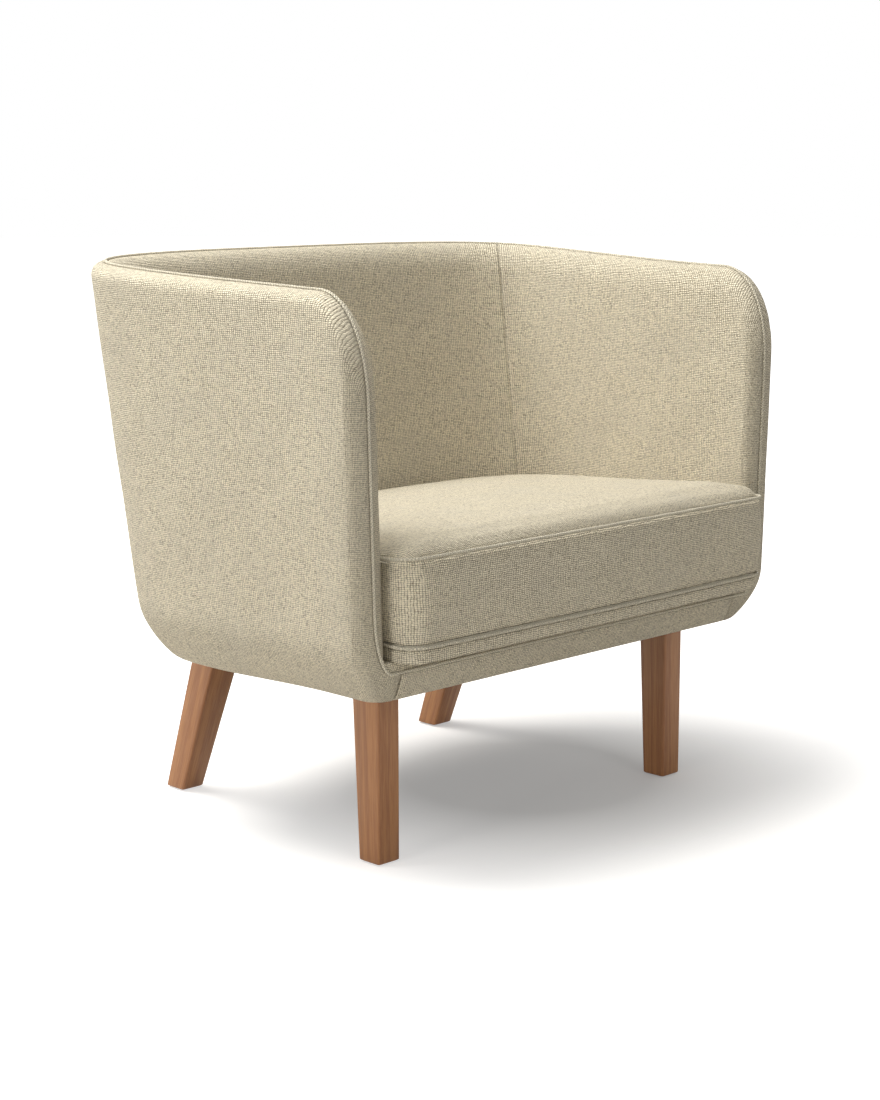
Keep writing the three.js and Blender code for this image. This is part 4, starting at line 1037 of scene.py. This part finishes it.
def ring_outs(ring):
    """Level outward normals of a ring."""
    along = np.roll(ring, -1, 0) - np.roll(ring, 1, 0)
    outs = stacked(along[:, 1], -along[:, 0], 0)
    return outs / np.linalg.norm(outs, axis=1, keepdims=True)


def ring_piece(name, outer, inner, node):
    """A closed band of cloth: rings down its outside and back up its inside."""
    rings = np.concatenate([outer, inner[::-1]])
    faces = quads(len(rings), rings.shape[1], around=True, closed=True)
    piece = make_piece(name, rings, faces, oatmeal, place=run_lengths(rings, 0, 0) + [0.25, 0.37])
    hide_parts(node)


def boxing_rings(depth):
    """Rings of the boxing from low seam to top seam, bulging by a sine and sinking into either seam."""
    rings = []
    for share in np.linspace(0, 1, 25):
        def rises(y, share=share):
            top = seat_level(y) - welt_radius - clearance
            return boxing_bottom + (top - boxing_bottom) * share
        from_seam = min(share, 1 - share) * nominal_boxing
        sink = seat_hollow * max(1 - from_seam / seat_hollow_reach, 0) ** 2
        out = boxing_bulge * np.sin(np.pi * share)
        rings.append(seat_ring(depth + sink - out, rises, out))
    return np.array(rings)


def band_rings():
    """Outside and inside of the band: upright, sinking a little into the seam above it, then turned under
    the seat by the margin."""
    outer = []
    for share in np.linspace(1, 0, 7):
        sink = seat_hollow * max(2.5 * share - 1.5, 0) ** 2
        outer.append(seat_ring(sink, band_bottom + (band_top - band_bottom) * share))
    outer += [seat_ring(inset, band_bottom) for inset in (0.011, band_margin)]
    lining = band_bottom + cover_thickness
    inner = [seat_ring(inset, height) for inset, height in
             ((cover_thickness, band_top), (cover_thickness, lining), (band_margin, lining))]
    return np.array(outer), np.array(inner)


ring_piece("seat_boxing_cloth", boxing_rings(0.0), boxing_rings(cover_thickness), "seat_boxing")
ring_piece("seat_band_cloth", *band_rings(), "seat_band")

top_welt_inset, top_welt_lift = -0.001, 0.0006
low_welt_inset, low_welt_lift = -0.0013, 0.0
top_ring = seat_ring(top_welt_inset, seat_level)
low_ring = seat_ring(low_welt_inset, low_welt_height)
piping_piece("seat_top_welt", top_ring, ring_outs(top_ring), top_welt_lift, "seat_top_piping")
piping_piece("seat_low_welt", low_ring, ring_outs(low_ring), low_welt_lift, "seat_low_piping")

pad_inset, pad_depth, pad_tuck = 0.0026, 0.006, 0.0005
pad_shares = [1, 0.997, 0.992, 0.985, 0.975, 0.96, 0.93, 0.88, 0.8, 0.7, 0.6, 0.5, 0.4, 0.3, 0.2, 0.1, 0.03]


def drawn_in(ring, share):
    """The ring drawn in to the seat's middle by a share, level."""
    ring = np.array(ring)
    ring[:, :2] = seat_middle + (ring[:, :2] - seat_middle) * share
    return ring


def dome_ring(share, edge, lift):
    """The edge ring drawn in by a share and raised by the shoulder and the dome above the sloping seam."""
    ring = drawn_in(edge, share)
    rise = seat_shoulder * (1 - share ** shoulder_power) + seat_dome * (1 - share ** 2)
    ring[:, 2] = seat_level(ring[:, 1]) + rise + lift
    return ring


def capped(rings):
    """Points and faces of rings closed by a point in the middle of the first and of the last ring."""
    count, around = rings.shape[:2]
    points = np.concatenate([rings.reshape(-1, 3), rings[0].mean(0)[None], rings[-1].mean(0)[None]])
    here, following = np.arange(around), (np.arange(around) + 1) % around
    last, low_end = (count - 1) * around, count * around
    low = stacked(following, here, low_end)
    high = stacked(last + here, last + following, low_end + 1)
    return points, quads(count, around, around=True), np.concatenate([low, high]).tolist()


def cushion_start():
    """The pad of the seat before it swells: a dome over the seam, closed by a flat foot below it."""
    edge = seat_ring(pad_inset, seat_level)
    upper = [dome_ring(share, edge, -pad_tuck) for share in pad_shares]
    lower = []
    for share in pad_shares[::-1]:
        ring = drawn_in(edge, share)
        ring[:, 2] = seat_level(ring[:, 1]) - pad_depth
        lower.append(ring)
    return capped(np.array(lower + upper))


def surface_place(points):
    """Surface place on the pad: its plan, with the fall of the shoulder added to the distance from the
    middle."""
    flat = points[:, :2] - seat_middle
    crest = seat_level(points[:, 1]) + seat_shoulder + seat_dome * 0.4
    fall = np.maximum(crest - points[:, 2], 0)
    far = np.maximum(np.linalg.norm(flat, axis=1), 1e-6)
    return flat * (1 + fall / far)[:, None] + 1.3


cushion_cell, held_height = 0.0045, 0.004
cushion_pressure, cushion_cap = 2.0, 0.003
last_frame = 20


def modified_copy(source, name):
    """The mesh of an object with its modifiers applied, as a new mesh."""
    graph = bpy.context.evaluated_depsgraph_get()
    made = bpy.data.meshes.new_from_object(source.evaluated_get(graph))
    made.name = name
    return made


def mesh_points(mesh):
    """Vertex places of a mesh as rows."""
    points = np.zeros(len(mesh.vertices) * 3, np.float32)
    mesh.vertices.foreach_get("co", points)
    return points.reshape(-1, 3).astype(float)


def swollen_cushion():
    """The pad remeshed in even cells, held at its seam and blown up as cloth for 20 frames."""
    points, faces, fans = cushion_start()
    turned = outward(points, faces)
    if turned is not faces:
        fans = [fan[::-1] for fan in fans]
    mesh = bpy.data.meshes.new("cushion_start")
    mesh.from_pydata(points.tolist(), [], turned.tolist() + fans)
    mesh.update()
    pad = new_object("cushion_start", mesh)
    remesh = pad.modifiers.new("cells", "REMESH")
    remesh.mode = "VOXEL"
    remesh.voxel_size = cushion_cell
    pad.data = modified_copy(pad, "cushion_cells")
    pad.modifiers.clear()
    before = mesh_points(pad.data)
    held = np.nonzero(before[:, 2] < seat_level(before[:, 1]) + held_height)[0].tolist()
    pins = pad.vertex_groups.new(name="seam")
    pins.add(held, 1.0, "REPLACE")
    cloth = pad.modifiers.new("cloth", "CLOTH")
    cloth.settings.vertex_group_mass = "seam"
    cloth.settings.quality = 5
    cloth.settings.mass = 0.3
    cloth.settings.tension_stiffness = 25
    cloth.settings.compression_stiffness = 25
    cloth.settings.bending_stiffness = 2
    cloth.settings.use_pressure = True
    cloth.settings.uniform_pressure_force = cushion_pressure
    cloth.settings.effector_weights.gravity = 0
    cloth.collision_settings.use_collision = False
    for number in range(1, last_frame + 1):
        bpy.context.scene.frame_set(number)
    pad.data = modified_copy(pad, "cushion_swollen")
    pad.modifiers.clear()
    bpy.context.scene.frame_set(1)
    move = mesh_points(pad.data) - before
    length = np.maximum(np.linalg.norm(move, axis=1, keepdims=True), 1e-9)
    points = before + move / length * cushion_cap * np.tanh(length / cushion_cap)
    pad.data.vertices.foreach_set("co", points.astype(np.float32).ravel())
    relax = pad.modifiers.new("relax", "SMOOTH")
    relax.factor = 0.5
    relax.iterations = 3
    split = pad.modifiers.new("split", "SUBSURF")
    split.levels = split.render_levels = 1
    made = modified_copy(pad, "seat_cushion")
    bpy.data.objects.remove(pad)
    return made


def cushion_piece():
    """The swollen pad as a piece, with its surface place worked out from where each point is."""
    mesh = swollen_cushion()
    mesh.polygons.foreach_set("use_smooth", np.ones(len(mesh.polygons), bool))
    lay_cloth(mesh, surface_place(mesh_points(mesh)))
    mesh.materials.clear()
    mesh.materials.append(oatmeal)
    piece = new_object("seat_cushion", mesh)
    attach(piece, "root")
    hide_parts("seat_top_panel")


cushion_piece()


def seat_block():
    """The foam inside: from the board up to just under the pad, a little inside the boxing, with its lower
    and upper edges eased."""
    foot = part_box("seat_board")[1].z + clearance
    inset, shoulder_drop, top_drop = cover_thickness + 0.002, 0.014, 0.009
    rings = [seat_ring(inset + 0.002, foot), seat_ring(inset, foot + 0.004)]
    for share in (0.25, 0.5, 0.75, 1):
        rings.append(seat_ring(inset, lambda y, k=share: foot + (seat_level(y) - shoulder_drop - foot) * k))
    rings.append(seat_ring(inset + 0.004, lambda y: seat_level(y) - top_drop))
    edge = rings[-1]
    for share in (0.7, 0.35, 0.05):
        ring = drawn_in(edge, share)
        ring[:, 2] = seat_level(ring[:, 1]) - top_drop
        rings.append(ring)
    points, faces, fans = capped(np.array(rings))
    piece = make_piece("seat_foam_block", points, faces, cut_foam, caps=fans)
    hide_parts("seat_foam")


seat_block()

# Dust cover: a sheet of black spun-bonded cloth stapled flat under the frame, where it closes the
# underside. It hangs a little slack between its edges, and the leg tops pass through it to the plate.

dust_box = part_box("dust_cover")
dust_hem, dust_slack, dust_thickness = 0.012, 0.0012, 0.0006


def dust_material():
    """Spun-bonded cloth: tangled fibres as fine noise, near black, with the faint dots of its bonding."""
    made, tree, shader = new_material("spun_bonded_cloth", 0.95)
    place = object_place(tree)
    fibre = noise(tree, place, 1500.0, 3.0)
    dots = put(tree, "TexVoronoi", {"Vector": place, "Scale": 450.0}).outputs["Distance"]
    tone = mixed(tree, fibre, (0.018, 0.017, 0.015, 1), (0.05, 0.048, 0.043, 1))
    tree.links.new(mixed(tree, dots, (0.02, 0.019, 0.017, 1), tone), shader.inputs["Base Color"])
    add_bump(tree, shader, 0.4, 0.0003, fibre)
    return made


def dust_sheet():
    """Rings from the middle to the hem and back below it, sunk by the slack times a cosine; both faces of the
    thin sheet close in the middle."""
    s = np.concatenate([np.linspace(0, 1, 9)[:-1], even_stations(1, 3, foam_step)])
    half = under_edge(s, dust_hem)
    rim = np.concatenate([half, mirrored(half[:-1][::-1])])
    middle = np.array([0, (dust_box[0].y + dust_box[1].y) / 2])
    shares = np.linspace(0.03, 1, 14)
    rings = []
    both_faces = [(share, 0) for share in shares] + [(share, dust_thickness) for share in shares[::-1]]
    for share, lower in both_faces:
        ring = np.array(rim)
        ring[:, :2] = middle + (rim[:, :2] - middle) * share
        ring[:, 2] = dust_box[1].z - clearance - dust_slack * np.cos(share * quarter) - lower
        rings.append(ring)
    faces, caps = ring_faces(rings)
    piece = make_piece("dust_sheet", np.array(rings), faces, dust_material(), caps=caps)
    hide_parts("dust_cover")


dust_sheet()

# Studio: a pale floor that glows to white for the camera, least round a point under the chair so that a
# painted shadow falloff lies there, a large soft lamp overhead, a little to the left and behind the chair,
# two weak ones from the side and from the front, and soft light all round.

floor_tone = (0.575, 0.555, 0.525, 1)
# Middle of the painted shadow: the floor's glow for the camera is weakest round this point under the chair.
painted_shadow_middle = (0.13, -0.05, 0)
near_lift, open_lift, far_lift = 0.21, 0.68, 0.4
near_reach, far_reach = (0.17, 0.5), (0.6, 2.0)


def straight_seen(tree):
    """1 where the camera sees a thing, straight or through a gloss or a glass, else 0."""
    seen = put(tree, "LightPath").outputs
    either = maths(tree, "MAXIMUM", seen["Is Camera Ray"], seen["Is Glossy Ray"])
    return maths(tree, "MAXIMUM", either, seen["Is Transmission Ray"])


def floor_material():
    """Pale matt floor. What the camera sees of it is lifted to white, more so further out, and shadows keep
    their depth near the chair."""
    made, tree, shader = new_material("studio_floor", 0.9)
    shader.inputs["Base Color"].default_value = floor_tone
    shader.inputs["Specular IOR Level"].default_value = 0.0
    # The glow grows outwards from the painted shadow's middle, so the darkness round the chair is its cast
    # shadow plus a painted shadow falloff.
    centred = vector_maths(tree, "SUBTRACT", {0: object_place(tree), 1: painted_shadow_middle})
    away = put(tree, "VectorMath", {0: centred}, operation="LENGTH").outputs["Value"]
    near = ranged(tree, away, near_reach, (near_lift, open_lift))
    far = ranged(tree, away, far_reach, (0, far_lift))
    lift = maths(tree, "MULTIPLY", straight_seen(tree), maths(tree, "ADD", near, far))
    shader.inputs["Emission Color"].default_value = (1, 1, 1, 1)
    tree.links.new(lift, shader.inputs["Emission Strength"])
    return made


def studio_floor():
    """A flat round sheet 40 m across in rings, the middle one a face of its own."""
    rings, around = 12, 64
    radius = np.linspace(0.0, 1.0, rings)[:, None] ** 2 * 20 + 0.01
    turn = np.linspace(0, 4 * quarter, around, endpoint=False)[None, :]
    points = stacked(radius * np.cos(turn), radius * np.sin(turn), 0)
    faces = quads(rings, around, around=True)[:, ::-1].tolist() + [list(range(around))]
    mesh = bpy.data.meshes.new("studio_floor")
    mesh.from_pydata(points.reshape(-1, 3).tolist(), [], faces)
    mesh.materials.append(floor_material())
    new_object("studio_floor", mesh)


studio_floor()


def soft_lamp(name, place, aim, size, power):
    """A square area lamp turned towards a point."""
    lamp = bpy.data.lights.new(name, "AREA")
    lamp.shape = "SQUARE"
    lamp.size, lamp.energy = size, power
    holder = new_object(name, lamp)
    holder.location = place
    holder.rotation_euler = (Vector(aim) - Vector(place)).to_track_quat("-Z", "Y").to_euler()


soft_lamp("key_lamp", (-0.82, 1.0, 3.3), (0, 0, 0.4), 2.2, 182)
soft_lamp("side_lamp", (-3.4, -0.3, 0.65), (0, 0, 0.35), 1.0, 28)
soft_lamp("front_lamp", (-0.4, -3.6, 1.1), (0, 0, 0.4), 1.2, 17)

ambient = 0.36
world = bpy.data.worlds.new("studio")
bpy.context.scene.world = world
world.use_nodes = True
sky = world.node_tree
backdrop = sky.nodes["Background"].inputs
backdrop["Color"].default_value = (1, 1, 1, 1)
sky.links.new(ranged(sky, straight_seen(sky), target=(ambient, 1.0)), backdrop["Strength"])
bpy.context.scene.view_settings.view_transform = "Standard"

# Camera: solved from the chair's own edges in the photograph, looking down 10 degrees from the front left.

eye = bpy.data.cameras.new("camera")
eye.sensor_width, eye.lens = 36, 71.09
eye.clip_start, eye.clip_end = 0.1, 100
viewer = new_object("camera", eye)
viewer.location = (-2.0358, -1.7844 + front_plane, 0.8605)
backward = Vector((-0.695, -0.6965, 0.1798)).normalized()
sideways = Vector((0, 0, 1)).cross(backward).normalized()
upward = backward.cross(sideways)
viewer.rotation_euler = Matrix((sideways, upward, backward)).transposed().to_euler()
bpy.context.scene.camera = viewer
